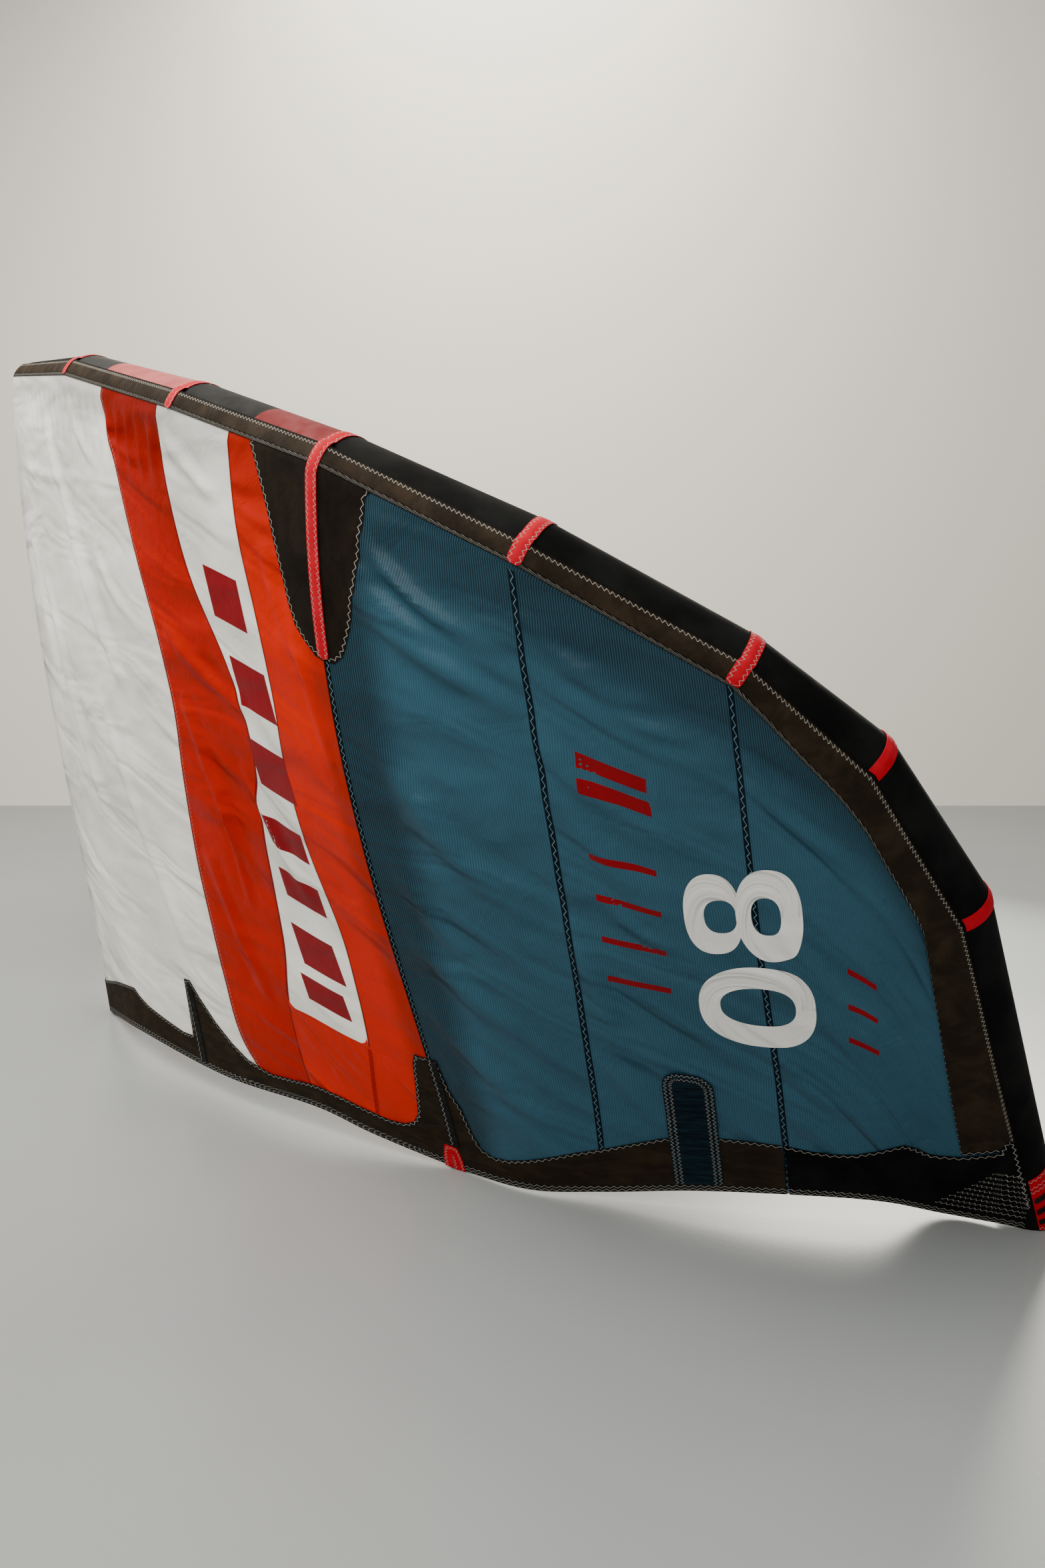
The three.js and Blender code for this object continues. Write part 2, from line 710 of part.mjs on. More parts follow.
// The strip along the tube's seam, over both halves.
function edgeStripGeometry() {
  const shares = [0, 0.15, 0.33, 0.55, 0.78, 1];
  const bends = stationsBetween(0, 5, 5);
  const last = TIP_LINES.filter((at) => at < STRIP_END.below);
  const rows = shares.map((share) => {
    const end = STRIP_END.above + (STRIP_END.below - STRIP_END.above) * share;
    const half = [...bends, ...last, end];
    const stations = [...half.slice(1).reverse().map((at) => -at), ...half];
    return stations.map((at) => {
      const width = readStraight(EDGE_STRIP, 'at', 'width', Math.abs(at));
      const distance = -STRIP_OVERLAP + share * (width + STRIP_OVERLAP);
      return { at, chord: belowSeam(at, distance) };
    });
  });
  return clothSheet(rows, SEWN);
}

function strutPatchGeometry() {
  const rows = STRUT_PATCH.map(({ chord, inner, outer }) => {
    const stations = [...stationsBetween(inner, STRUT, 3), ...stationsBetween(STRUT, outer, 2).slice(1)];
    return stations.map((at) => ({ at, chord }));
  });
  return clothSheet(rows, SEWN);
}

// A band along the trailing edge, from a height above it down to the edge itself.
function bandGeometry(table, extra, full) {
  const columns = [...new Set([...table.map(({ at }) => at), ...extra])].sort((a, b) => a - b);
  const shares = [0, 0.34, 0.67, 1];
  const rows = shares.map((share) => columns.map((at) => {
    const height = at >= full ? seamToEdge(at) + STRIP_OVERLAP : readStraight(table, 'at', 'height', at);
    const chord = height * (1 - share) < chordLength(at)
      ? fromTrailingEdge(at, height * (1 - share))
      : belowSeam(at, seamToEdge(at) - height * (1 - share));
    return { at, chord };
  }));
  return clothSheet(rows, SEWN);
}

function pocketGeometry() {
  const { at: middle, halfWidth, foot, top, corner } = POCKET;
  const heights = [foot, 75, 130, 180, 225, top - corner, top - corner * 0.4, top - corner * 0.12, top];
  const rows = heights.map((height) => {
    const over = Math.max(0, height - (top - corner)) / corner;
    const width = halfWidth - corner * (1 - Math.sqrt(1 - over * over));
    const chord = fromTrailingEdge(middle, height);
    const stations = [-1, -0.33, 0.33, 1].map((share) => shifted(middle, chord, share * width));
    return stations.map((at) => ({ at, chord }));
  });
  return clothSheet(rows, TOP);
}

// Centre line of a strut under its station's chord, and its radius there.
function strutRing(at, chord, grow = 0) {
  const reach = 0.02;
  const radius = STRUT_ROOT_RADIUS + (STRUT_FOOT_RADIUS - STRUT_ROOT_RADIUS) * chord;
  const out = canopyNormal(at, chord);
  const down = canopyPoint(at, chord + reach).sub(canopyPoint(at, chord - reach)).normalize();
  const across = new THREE.Vector3().crossVectors(down, out).normalize();
  const centre = onCloth(at, chord, -(radius + STRUT_GAP));
  return anglesAround(STRUT_SIDES).map((degrees) => {
    const angle = THREE.MathUtils.degToRad(degrees);
    const offset = out.clone().multiplyScalar(Math.cos(angle)).addScaledVector(across, Math.sin(angle));
    return centre.clone().addScaledVector(offset, radius + grow);
  });
}

// The strut's root is cut to the tube's curve, a little way off it.
function strutGeometry(at, tubeSolid) {
  const chords = [0.012, 0.07, 0.14, 0.22, 0.32, 0.45, 0.6, 0.76, 0.88, fromTrailingEdge(at, CAP_LENGTH)];
  const rings = chords.map((chord) => strutRing(at, chord));
  return geometryFrom(solidFrom(ringGeometry(rings)).subtract(tubeSolid));
}

// The crimson cap: the strut's end, stood flat on the floor, with a flap over the trailing edge.
function capGeometry(at) {
  const start = fromTrailingEdge(at, CAP_LENGTH - 0.5);
  const first = strutRing(at, start);
  const edge = strutRing(at, 0.985);
  const slide = canopyPoint(at, 0.985).sub(canopyPoint(at, 0.94)).normalize();
  const foot = edge.map((point) => point.clone().addScaledVector(slide, -(point.z + CUT_DEPTH) / slide.z));
  const body = solidFrom(ringGeometry([first, foot]));
  const perStation = canopyPoint(at + 0.02, 1).distanceTo(canopyPoint(at - 0.02, 1)) / 0.04;
  const flapRow = (distance, width) => [-1, -0.5, 0, 0.5, 1].map((share) => ({
    at: at + (share * width) / perStation,
    chord: fromTrailingEdge(at, distance),
  }));
  const flapDistances = [CAP_LENGTH, CAP_LENGTH * 0.5, 0, -LIP.end];
  const flapRows = flapDistances.map((distance) => flapRow(distance, CAP_FLAP_HALF_WIDTH));
  const lipRows = [-LIP.start, -LIP.end - 0.5].map((distance) => flapRow(distance, CAP_FLAP_HALF_WIDTH - 1));
  const flap = solidFrom(clothSheet(flapRows, TOP));
  const lip = solidFrom(clothSheet(lipRows, { low: LIP.low, high: TOP.high - 0.3 }));
  const floor = new THREE.BoxGeometry(200, 200, 100);
  floor.translate(canopyPoint(at, 1).x, canopyPoint(at, 1).y, -50);
  return geometryFrom(body.add(flap).add(lip).subtract(solidFrom(floor)));
}

// The tip's crimson cover: a band round the tube, and below it a cover round the outer side to the floor.
function tipCoverGeometry() {
  const last = TIP - 1;
  const { bandStart, bandWidth, start, bandEnd, coverEnd } = TIP_COVER;
  const grid = (degrees, length, level) => degrees.map((angle) => {
    const reach = length(angle);
    return reach.map((along) => onTube(last, angle, along, level));
  });
  const bandAngles = [start, ...tubeAngles(start, bandEnd)];
  const coverAngles = bandAngles.filter((degrees) => degrees <= coverEnd);
  const bandLength = () => [bandStart, bandStart + bandWidth];
  const coverLength = (angle) => {
    const toFloor = ringPoint(last, angle).distanceTo(ringPoint(TIP, angle));
    const end = toFloor - 4;
    return [bandStart + bandWidth - 1, (bandStart + bandWidth + end) / 2, end];
  };
  const sheet = (angles, length) => solidFrom(sheetGeometry(
    grid(angles, length, TAPE_ON_TUBE.low),
    grid(angles, length, TAPE_ON_TUBE.high),
  ));
  return geometryFrom(sheet(bandAngles, bandLength).add(sheet(coverAngles, coverLength)).add(loopSolid()));
}

// The webbing loop lies on the cover: two legs from the seam side that meet in a half circle.
function loopSolid() {
  const { start, reach, high, low, width, thickness } = LOOP;
  const last = TIP - 1;
  const middle = (high + low) / 2;
  const radius = (low - high) / 2;
  const perDegree = (Math.PI / 180) * STATIONS[TIP].radius;
  const turn = reach - radius / perDegree;
  const legAngles = [start, ...tubeAngles(start, turn)];
  const path = legAngles.map((angle) => ({ angle, along: high, side: -1, lean: 0 }));
  for (let step = 0; step <= 8; step += 1) {
    const bend = (Math.PI * step) / 8;
    path.push({
      angle: turn + (Math.sin(bend) * radius) / perDegree,
      along: middle - Math.cos(bend) * radius,
      side: -Math.cos(bend),
      lean: Math.sin(bend),
    });
  }
  path.push(...legAngles.reverse().map((angle) => ({ angle, along: low, side: 1, lean: 0 })));
  const grid = (level) => path.map(({ angle, along, side, lean }) => [-0.5, 0.5].map((share) => {
    const shift = share * width;
    return onTube(last, angle + (lean * shift) / perDegree, along + side * shift, level);
  }));
  return solidFrom(sheetGeometry(grid(TAPE_ON_TUBE.low + 0.3), grid(TAPE_ON_TUBE.high + thickness)));
}

const kite = new THREE.Group();
kite.position.y = -FOOTPRINT_MIDDLE;

function addPiece(name, geometry, colour) {
  const { color, roughness } = COLOURS[colour];
  const material = new THREE.MeshStandardMaterial({ color, roughness, metalness: 0 });
  const mesh = new THREE.Mesh(geometry, material);
  mesh.name = name;
  kite.add(mesh);
}

// The same piece on the other half.
function mirrored(geometry) {
  const positions = Array.from(geometry.attributes.position.array);
  for (let number = 0; number < positions.length; number += 3) {
    positions[number] = -positions[number];
  }
  return facingOut(positions, Array.from(geometry.index.array));
}

function addPair(name, geometry, colour) {
  addPiece(`${name}_right`, geometry, colour);
  addPiece(`${name}_left`, mirrored(geometry), colour);
}

addPiece('canopy_white_centre', centrePanelGeometry(), 'white');
addPair('canopy_red', panelGeometry((c) => seamAt('white', c), (c) => seamAt('red', c), 4), 'red');

addPair('canopy_white_band', whiteBandGeometry(), 'white');

const orangeSeam = (chord) => seamAt(chord > BAND_END ? 'red' : 'band', chord);
const orangeRows = [...CHORD_ROWS, BAND_END + 0.002].sort((a, b) => a - b);
addPair('canopy_orange', panelGeometry(orangeSeam, () => STRUT, 5, orangeRows), 'orange');
addPair('canopy_blue_inner', innerPanelGeometry(), 'blue');
addPair(
  'canopy_blue_middle',
  panelGeometry((c) => seamAt('rib', c), (c) => seamAt('tip', c), 5),
  'blue',
);
addPair('canopy_blue_tip', tipPanelGeometry(), 'blue');

addPiece('leading_edge_strip', edgeStripGeometry(), 'strip');
addPair('strut_root_patch', strutPatchGeometry(), 'patch');
addPair('trailing_edge_band', bandGeometry(EDGE_BAND, [0.15, 0.45], TIP), 'edge');
addPair('tip_patch', bandGeometry(TIP_PATCH, TIP_LINES, TIP_PATCH_FULL), 'tipPatch');
addPair('batten_pocket', pocketGeometry(), 'pocket');

addPiece('tube_centre', centreTubeGeometry(), 'tube');
for (let seam = 1; seam < TIP; seam += 1) {
  addPair(`tube_${seam}`, tubeGeometry(seam), 'tube');
}
for (const tape of TAPES) {
  addPair(`seam_tape_${tape.at}`, tapeGeometry(tape), 'tape');
}
addPair('strut_strap', tapeGeometry(STRAP), 'tape');
addPair('tip_cover', tipCoverGeometry(), 'tape');

const ROOT_GAP = 0.5;
const [aboveStrut, belowStrut] = [STRUT - 1, STRUT].map((bend) => solidFrom(tubeGeometry(bend, ROOT_GAP, -1)));
const tubeByStrut = aboveStrut.add(belowStrut);
addPiece('strut_centre', strutGeometry(0, solidFrom(centreTubeGeometry(ROOT_GAP))), 'strut');
addPair('strut', strutGeometry(STRUT, tubeByStrut), 'strut');
addPiece('strut_cap_centre', capGeometry(0), 'tape');
addPair('strut_cap', capGeometry(STRUT), 'tape');

export default kite;
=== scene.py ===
import math

import bpy
import numpy as np
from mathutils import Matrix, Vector


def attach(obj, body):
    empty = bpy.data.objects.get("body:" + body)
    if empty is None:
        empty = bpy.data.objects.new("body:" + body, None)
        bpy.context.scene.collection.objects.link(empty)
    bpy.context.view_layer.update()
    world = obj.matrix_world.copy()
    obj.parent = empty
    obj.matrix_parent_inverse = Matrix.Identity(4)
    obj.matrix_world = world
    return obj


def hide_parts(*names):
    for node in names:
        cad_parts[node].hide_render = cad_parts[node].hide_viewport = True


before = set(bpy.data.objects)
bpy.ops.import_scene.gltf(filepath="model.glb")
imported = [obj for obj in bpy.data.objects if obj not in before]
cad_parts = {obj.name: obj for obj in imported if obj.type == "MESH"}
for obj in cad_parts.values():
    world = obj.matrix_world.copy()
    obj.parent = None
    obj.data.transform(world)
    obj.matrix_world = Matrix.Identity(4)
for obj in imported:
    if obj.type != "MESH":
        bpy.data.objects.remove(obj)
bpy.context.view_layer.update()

bl_info = {
    "name": "Inflated kitesurfing kite",
    "version": (1, 0, 0),
    "blender": (4, 5, 0),
    "location": "View3D > Sidebar > Kite",
    "description": "Dresses the packed kite in cloth, seams, stitching, prints and studio light",
    "category": "Object",
}

# Lengths are millimetres in the tables and functions of the shape, and metres from the meshes on.
MM = 0.001
FOOTPRINT_MIDDLE = 720.2


def table(columns, *rows):
    """A table of named columns, as arrays."""
    return {name: np.array(values, float) for name, values in zip(columns.split(), zip(*rows))}


# The line where the canopy leaves the leading-edge tube, the tube's radius, how far round the tube the
# canopy's seam lies above that line, in degrees, and how far the canopy bows out of its chord.
STATIONS = table(
    "at x y z radius wrap camber",
    (0, 0, -172, 1740, 67, 52, 33),
    (1, 689, -59, 1624, 66, 47, 30),
    (2, 1235, 103, 1472, 65, 47, 22),
    (3, 1620, 283, 1346, 63, 38, 66),
    (4, 1891, 513, 1184, 61, 39, 13),
    (5, 2049, 788, 1017, 59, 36, 9),
    (6, 2105, 987, 876, 58, 11, 6),
    (7, 2089, 1188, 636, 57, 4, 3),
    (8, 1962, 1500, 32, 52, 4, 0.3),
)
TIP = 8
TIP_EDGE = 7.96
STRUT = 3

# The trailing edge, which touches the floor at the struts and the tip and rises between them.
TRAILING_EDGE = table(
    "at x y z",
    (0, 0, 0, 5),
    (0.6, 381, 59, 63),
    (1.35, 772, 228, 54),
    (2, 1040, 388, 58),
    (2.45, 1165, 479, 34),
    (3, 1324, 611, 6),
    (3.5, 1466, 711, 6),
    (4, 1554, 836, 18),
    (4.5, 1651, 973, 40),
    (5, 1748, 1122, 50),
    (6, 1827, 1264, 48),
    (7, 1846, 1399, 8),
    (8, 1952.3, 1508.4, 7),
)

# The seams between the canopy panels: the station of each seam at a share of the chord.
SEAMS = table(
    "chord white red band rib tip",
    (0, 1.4, 1.9, 2.45, 4, 5),
    (0.1, 1.49, 1.915, 2.455, 4, 5),
    (0.2, 1.55, 1.98, 2.51, 4.01, 5),
    (0.3, 1.605, 2.15, 2.53, 4.02, 5),
    (0.4, 1.615, 2.215, 2.5, 4.025, 5),
    (0.5, 1.565, 2.135, 2.515, 4.03, 5.005),
    (0.63, 1.515, 2.08, 2.61, 4.03, 5.02),
    (0.72, 1.505, 2.04, 2.61, 4.03, 5.03),
    (0.82, 1.505, 1.96, 2.585, 4.03, 5.03),
    (0.92, 1.535, 1.955, 2.53, 4.02, 5.03),
    (1, 1.7, 2, 2.5, 4, 5.01),
)

TUBE_GAP = 1.8
BLEND_REACH = 0.15
CURVE_END = 7
CAMBER_FADE = 1.8
CAMBER_PEAK = 0.1612


def straight(rows, column, key, along="at"):
    """A column's value at a key, with straight lines between the rows."""
    return np.interp(key, rows[along], rows[column])


def eased(rows, column, key, along="at"):
    """The same, eased through the rows by cubic curves with the rows' mean slopes."""
    keys, values = rows[along], rows[column]
    index = np.arange(len(keys))
    before, after = np.maximum(index - 1, 0), np.minimum(index + 1, len(keys) - 1)
    slopes = (values[after] - values[before]) / (keys[after] - keys[before])
    key = np.asarray(key, float)
    row = np.clip(np.searchsorted(keys, key) - 1, 0, len(keys) - 2)
    step = keys[row + 1] - keys[row]
    t = (key - keys[row]) / step
    bend = t * (1 - t) * step * ((1 - t) * slopes[row] - t * slopes[row + 1])
    return values[row] + (values[row + 1] - values[row]) * t * t * (3 - 2 * t) + bend


def place(read, rows, at):
    return np.stack([read(rows, column, at) for column in "xyz"], axis=-1)


def smooth_step(value, start, end):
    share = np.clip((value - start) / (end - start), 0, 1)
    return share * share * (3 - 2 * share)


def blend(start, end, share):
    return start + (end - start) * np.asarray(share)[..., None]


def unit(vectors):
    return vectors / np.linalg.norm(vectors, axis=-1, keepdims=True)


def leading_edge(at, chord):
    """Straight from bend to bend of the tube, and curved a little way down the canopy."""
    share = smooth_step(chord, 0, BLEND_REACH) * (1 - smooth_step(at, CURVE_END - 0.5, CURVE_END))
    return blend(place(straight, STATIONS, at), place(eased, STATIONS, at), share)


def trailing_edge(at):
    return place(eased, TRAILING_EDGE, at)


def chord_length(at):
    at = np.abs(np.asarray(at, float))
    return np.linalg.norm(leading_edge(at, 0 * at) - trailing_edge(at), axis=-1)


def chord_point(at, chord):
    return blend(leading_edge(at, chord), trailing_edge(at), chord)


def camber_depth(at):
    near = np.floor(np.minimum(at, TIP - 0.001)).astype(int)
    start, end = STATIONS["camber"][near], STATIONS["camber"][near + 1]
    share = np.where(end > start, (at - near) ** 1.4, 1 - np.maximum(1 - at + near, 0) ** 1.4)
    return start + (end - start) * share


def camber_shape(chord):
    share = np.clip(chord, 0, 1)
    return share * (1 - share) ** CAMBER_FADE / CAMBER_PEAK


def chord_normal(at, chord):
    """Outward direction of the chord lines' surface, from its two edges around a station."""
    reach = 0.12
    ahead = chord_point(np.minimum(at + reach, TIP), chord)
    along = ahead - chord_point(np.maximum(at - reach, 0), chord)
    along[..., 1:] *= np.minimum(at / reach, 1)[..., None]
    edge = np.minimum(at, TIP_EDGE)
    return unit(np.cross(trailing_edge(edge) - leading_edge(edge, 0 * edge), along))


def canopy_point(at, chord):
    """A point in the middle of the canopy's cloth. Stations below 0 are the left half's."""
    at, chord = np.broadcast_arrays(np.asarray(at, float), np.asarray(chord, float))
    station, share = np.abs(at), np.maximum(chord, 0)
    bow = camber_depth(station) * camber_shape(share)
    free = chord_point(station, share) + chord_normal(station, share) * bow[..., None]
    if np.any(chord < 0):
        angle = np.maximum(-chord, 0) * straight(STATIONS, "wrap", station)
        free = np.where((chord < 0)[..., None], wrap_point(station, angle, TUBE_GAP), free)
    return free * np.where(at < 0, -1, 1)[..., None] ** np.array([1, 0, 0])


def canopy_normal(at, chord):
    """The cloth's outward normal."""
    at, chord = np.broadcast_arrays(np.asarray(at, float), np.asarray(chord, float))
    reach, rise = 0.04, 0.012
    edge, share = np.minimum(at, TIP_EDGE), np.maximum(chord, 0)
    along = canopy_point(np.minimum(edge + reach, TIP), share) - canopy_point(edge - reach, share)
    middle = np.clip(share, rise, 1 - rise)
    down = canopy_point(edge, middle + rise) - canopy_point(edge, middle - rise)
    normal = unit(np.cross(down, along))
    if np.any(chord < 0):
        station = np.abs(at)
        angle = np.maximum(-chord, 0) * straight(STATIONS, "wrap", station)
        round_it = wrap_point(station, angle, 1) - wrap_point(station, angle, 0)
        round_it *= np.where(at < 0, -1, 1)[..., None] ** np.array([1, 0, 0])
        normal = np.where((chord < 0)[..., None], unit(round_it), normal)
    return normal


def tube_rings():
    """The tube's centre at each bend, with the directions out of the canopy's side and up round the tube."""
    bends = np.arange(TIP + 1.0)
    radius = STATIONS["radius"]
    normal = canopy_normal(bends, 0 * bends)
    centre = canopy_point(bends, 0 * bends) - normal * (radius + TUBE_GAP)[:, None]
    steps = unit(np.diff(centre, axis=0))
    along = unit(np.vstack([[1, 0, 0], steps[1:] + steps[:-1], steps[-1]]))
    out = unit(normal - along * (normal * along).sum(1)[:, None])
    up = np.cross(along, out)
    edge = np.minimum(bends, TIP - 1)
    away = leading_edge(edge, 0 * edge) - trailing_edge(edge)
    up *= np.sign((up * away).sum(1))[:, None]
    return {"centre": centre, "radius": radius, "out": out, "up": up, "last": steps[-1]}


def round_tube(ring, degrees):
    angle = np.radians(degrees)[..., None]
    return RINGS["out"][ring] * np.cos(angle) + RINGS["up"][ring] * np.sin(angle)


def wrap_point(station, degrees, level):
    """A point off the tube's surface, at any station and angle round it."""
    bend = np.minimum(np.floor(station), TIP - 1).astype(int)
    start, end = (
        RINGS["centre"][ring] + round_tube(ring, degrees) * (RINGS["radius"][ring] + level)[..., None]
        for ring in (bend, bend + 1)
    )
    return blend(start, end, station - bend)


RINGS = tube_rings()


def on_cloth(at, chord, level):
    """A point some millimetres off the middle of the canopy's cloth."""
    level = np.asarray(level, float)[..., None] if np.ndim(level) else level
    return canopy_point(at, chord) + canopy_normal(at, chord) * level


def shifted(at, chord, distance):
    """Station that lies some millimetres further along the span."""
    reach = 0.02
    gap = canopy_point(at + reach, chord) - canopy_point(at - reach, chord)
    return at + distance * 2 * reach / np.linalg.norm(gap, axis=-1)


def wrap_length(station):
    """Length of cloth that lies on the tube at a station."""
    return (straight(STATIONS, "radius", station) + TUBE_GAP) * np.radians(
        straight(STATIONS, "wrap", station)
    )


def below_seam(at, distance):
    """Share of the chord at a distance below the canopy's seam, which lies on the tube."""
    on_tube = wrap_length(np.abs(at))
    return np.where(distance < on_tube, distance / on_tube - 1, (distance - on_tube) / chord_length(at))


def from_trailing_edge(at, distance):
    return 1 - distance / chord_length(at)


def seam_at(name, chord):
    return eased(SEAMS, name, np.maximum(chord, 0), along="chord")


# Height of the trailing-edge band above the trailing edge: the centre strut's patch, the inner batten
# pocket, the outer strut's patch and the swell at the outer batten.
EDGE_BAND = table(
    "at height",
    (0, 92), (0.3, 108), (0.62, 118), (0.67, 102), (0.75, 88), (0.9, 76), (1.05, 68), (1.13, 72),
    (1.155, 225), (1.2, 228), (1.25, 195), (1.35, 141), (1.45, 100), (1.55, 68), (1.7, 50), (1.85, 52),
    (2, 58), (2.15, 59), (2.3, 61), (2.45, 61), (2.6, 60), (2.7, 68), (2.77, 84), (2.815, 112),
    (2.84, 165), (2.88, 255), (2.91, 283), (3, 288), (3.06, 288), (3.09, 215), (3.145, 172),
    (3.18, 112), (3.22, 78), (3.3, 64), (3.4, 66), (3.55, 78), (3.7, 90), (3.85, 102), (4, 112),
    (4.2, 127), (4.4, 140), (4.6, 145), (4.8, 138), (5, 131),
)

# Height of the black tip patch above the trailing edge, up to where it takes in the whole chord.
TIP_PATCH = table(
    "at height",
    (5.02, 131), (5.25, 120), (5.5, 115), (5.75, 118), (6, 133), (6.4, 160), (6.8, 158), (7.2, 170),
    (7.6, 197),
)
TIP_PATCH_FULL = 7.72

# The dark patch over the outer strut's root: its two edges at a share of the chord.
STRUT_PATCH = table(
    "chord inner outer",
    (-0.2, 2.6, 3.3), (0, 2.62, 3.285), (0.06, 2.7, 3.243), (0.1, 2.737, 3.208), (0.13, 2.762, 3.182),
    (0.16, 2.79, 3.155), (0.186, 2.82, 3.12), (0.2, 2.87, 3.095), (0.21, 2.94, 3.05),
)

# Width of the leading-edge strip below the canopy's seam.
EDGE_STRIP = table(
    "at width",
    (0, 38), (1, 36), (2, 33), (3, 32), (4, 33), (5, 37), (5.25, 48), (5.5, 67), (5.75, 82), (6, 102),
    (6.2, 126), (6.4, 142), (6.6, 154), (6.8, 250), (7, 364), (7.2, 404), (7.4, 256), (7.6, 105), (7.7, 78),
)
STRIP_OVERLAP = 3
# The share of the chord where the strut patch starts, under the strip.
UNDER_STRIP = -0.45
STRIP_END = (7.71, 7.6)

# The seam tapes round the tube: how far each tab runs down over the strip, and the angle where it ends.
TAPES = table("at tab end", (1, 34, 280), (2, 33, 280), (4, 32, 280), (5, 33, 280), (6, 0, 280), (7, 0, 280))
STRAP = {"at": STRUT, "tab": 335, "end": 220}
TAPE_WIDTH = 25

POCKET = {"at": 4.54, "half_width": 46, "foot": 20, "top": 304, "corner": 34}
# The narrow pocket and the strip over the strut's foot: station, lower and upper end, rows and half width.
INNER_POCKET = {"at": 1.185, "foot": 14, "top": 208, "rows": 26, "half_width": 15}
FOOT_STRIP = {"at": 3.03, "foot": 62, "top": 284, "rows": 30, "half_width": 11}
TIP_COVER = {"band_start": 598, "band_width": 27, "start": 13, "band_end": 280, "cover_end": 120}
LOOP = {"start": 16, "reach": 62, "high": 652, "low": 682, "width": 10}
KEEPER = {"start": 16, "end": 50, "near": 704, "far": 715, "lean": 5}

# Levels of the sewn layers above the middle of the canopy's cloth, and above the tube.
CLOTH = (-0.6, 0.6)
SEAM_TAPE = (0.8, 1.3)
PRINT = (0.72, 0.86)
PATCH = (1.35, 1.75)
SEWN = (1.8, 2.8)
TOP = (3.7, 4.7)
ON_TUBE = (0.5, 1.5)
SEAM_GAP = 0.1
# A sheet's flat size is cut down to a rectangle that it fills at least this much of.
LEAST_FILL = 0.32
JOINT_GAP = 0.2

STRUT_ROOT_RADIUS = 54
STRUT_FOOT_RADIUS = 36
STRUT_GAP = 3.4
# How far each strut's root stays off the tube.
ROOT_GAPS = {"centre": 5.5, "outer": 2.2}
CAP_LENGTH = 57
CAP_PLEATS = {"count": 12, "depth": 0.5}
# The flap over each outer strut's cap: heights above the trailing edge, and the share of its half width.
FLAP = table(
    "height share",
    (57, 0.6), (50, 0.72), (42, 0.82), (34, 0.9), (26, 0.96), (18, 1), (10, 1), (4, 1), (0, 1), (-2.5, 1),
)
FLAP_HALF_WIDTH = 24
BAND_END = 0.83

# The folds that show: from and to, the width of the ridge and how far it stands out.
FOLDS = table(
    "at chord to_at to_chord width rise",
    (0.68, 0.05, 0.89, 0.16, 21, 9.6),
    (0.89, 0.16, 1.18, 0.39, 27, 12.8),
    (1.06, 0.03, 1.27, 0.09, 14, 6.4),
    (0.1, 0.11, 1.02, 0.125, 13, 5.6),
    (1.17, 0.22, 1.36, 0.28, 18, 6.4),
    (0.08, 0.67, 0.53, 0.755, 21, 6.4),
    (0.45, 0.3, 0.7, 0.62, 29, 9.6),
    (0.95, 0.45, 1.25, 0.8, 24, 8),
    (0.2, 0.2, 0.42, 0.5, 24, 8),
    (1.7, 0.29, 2.2, 0.345, 19, 8),
    (1.72, 0.39, 1.92, 0.61, 21, 9.6),
    (1.84, 0.49, 1.86, 0.665, 14, 6.4),
    (1.62, 0.62, 1.8, 0.82, 19, 6.4),
    (1.96, 0.02, 2.14, 0.05, 16, 6.4),
    (2.06, 0.03, 2.3, 0.07, 14, 6.4),
    (2.1, 0.45, 2.42, 0.6, 21, 6.4),
    (2.64, 0.12, 2.8, 0.24, 16, 6.4),
    (2.77, 0.16, 2.91, 0.35, 14, 4.8),
    (3.2, 0.04, 3.65, 0.1, 18, 8),
    (3.2, 0.085, 3.54, 0.13, 16, 8),
    (3.38, 0.075, 3.73, 0.11, 14, 6.4),
    (3.2, 0.123, 3.89, 0.177, 24, 12.8),
    (3.17, 0.29, 3.47, 0.386, 27, 9.6),
    (3.28, 0.366, 3.76, 0.473, 32, 12.8),
    (3.2, 0.49, 3.39, 0.573, 22, 8),
    (3.2, 0.588, 3.58, 0.693, 29, 11.2),
    (3.15, 0.7, 3.67, 0.855, 30, 11.2),
    (4.04, 0.06, 4.37, 0.085, 16, 6.4),
    (4.21, 0.1, 4.6, 0.09, 13, 4.8),
    (4.35, 0.12, 4.73, 0.115, 14, 4.8),
    (4.04, 0.204, 4.28, 0.273, 26, 9.6),
    (4.1, 0.3, 4.45, 0.4, 32, 9.6),
    (4.55, 0.195, 4.62, 0.27, 11, 4.8),
    (4.25, 0.439, 4.54, 0.486, 13, 4.8),
    (4.06, 0.49, 4.23, 0.706, 24, 8),
    (4.13, 0.726, 4.4, 0.858, 21, 8),
    (5.05, 0.09, 5.23, 0.148, 18, 6.4),
    (5.1, 0.152, 5.81, 0.19, 19, 6.4),
    (5.2, 0.4, 5.7, 0.5, 24, 6.4),
    (5.06, 0.68, 5.63, 0.773, 18, 6.4),
)
FOLD_STEPS = 5
GATHERS = {"pitch": 52, "rise": 3.6, "below": 62, "reach": 46, "last": 1.9}

# The longest side of a canopy panel's faces.
CLOTH_STEP = 11


def flat_place(at, chord):
    """Where a point of the canopy lies on the floor when its panels are spread out, in millimetres."""
    stations = np.linspace(0, TIP, 161)
    middle = canopy_point(stations, 0.4 + 0 * stations)
    spread = np.r_[0, np.cumsum(np.linalg.norm(np.diff(middle, axis=0), axis=1))]
    across = np.interp(np.abs(at), stations, spread)
    return np.stack([across, np.maximum(chord, 0) * chord_length(at)], axis=-1)


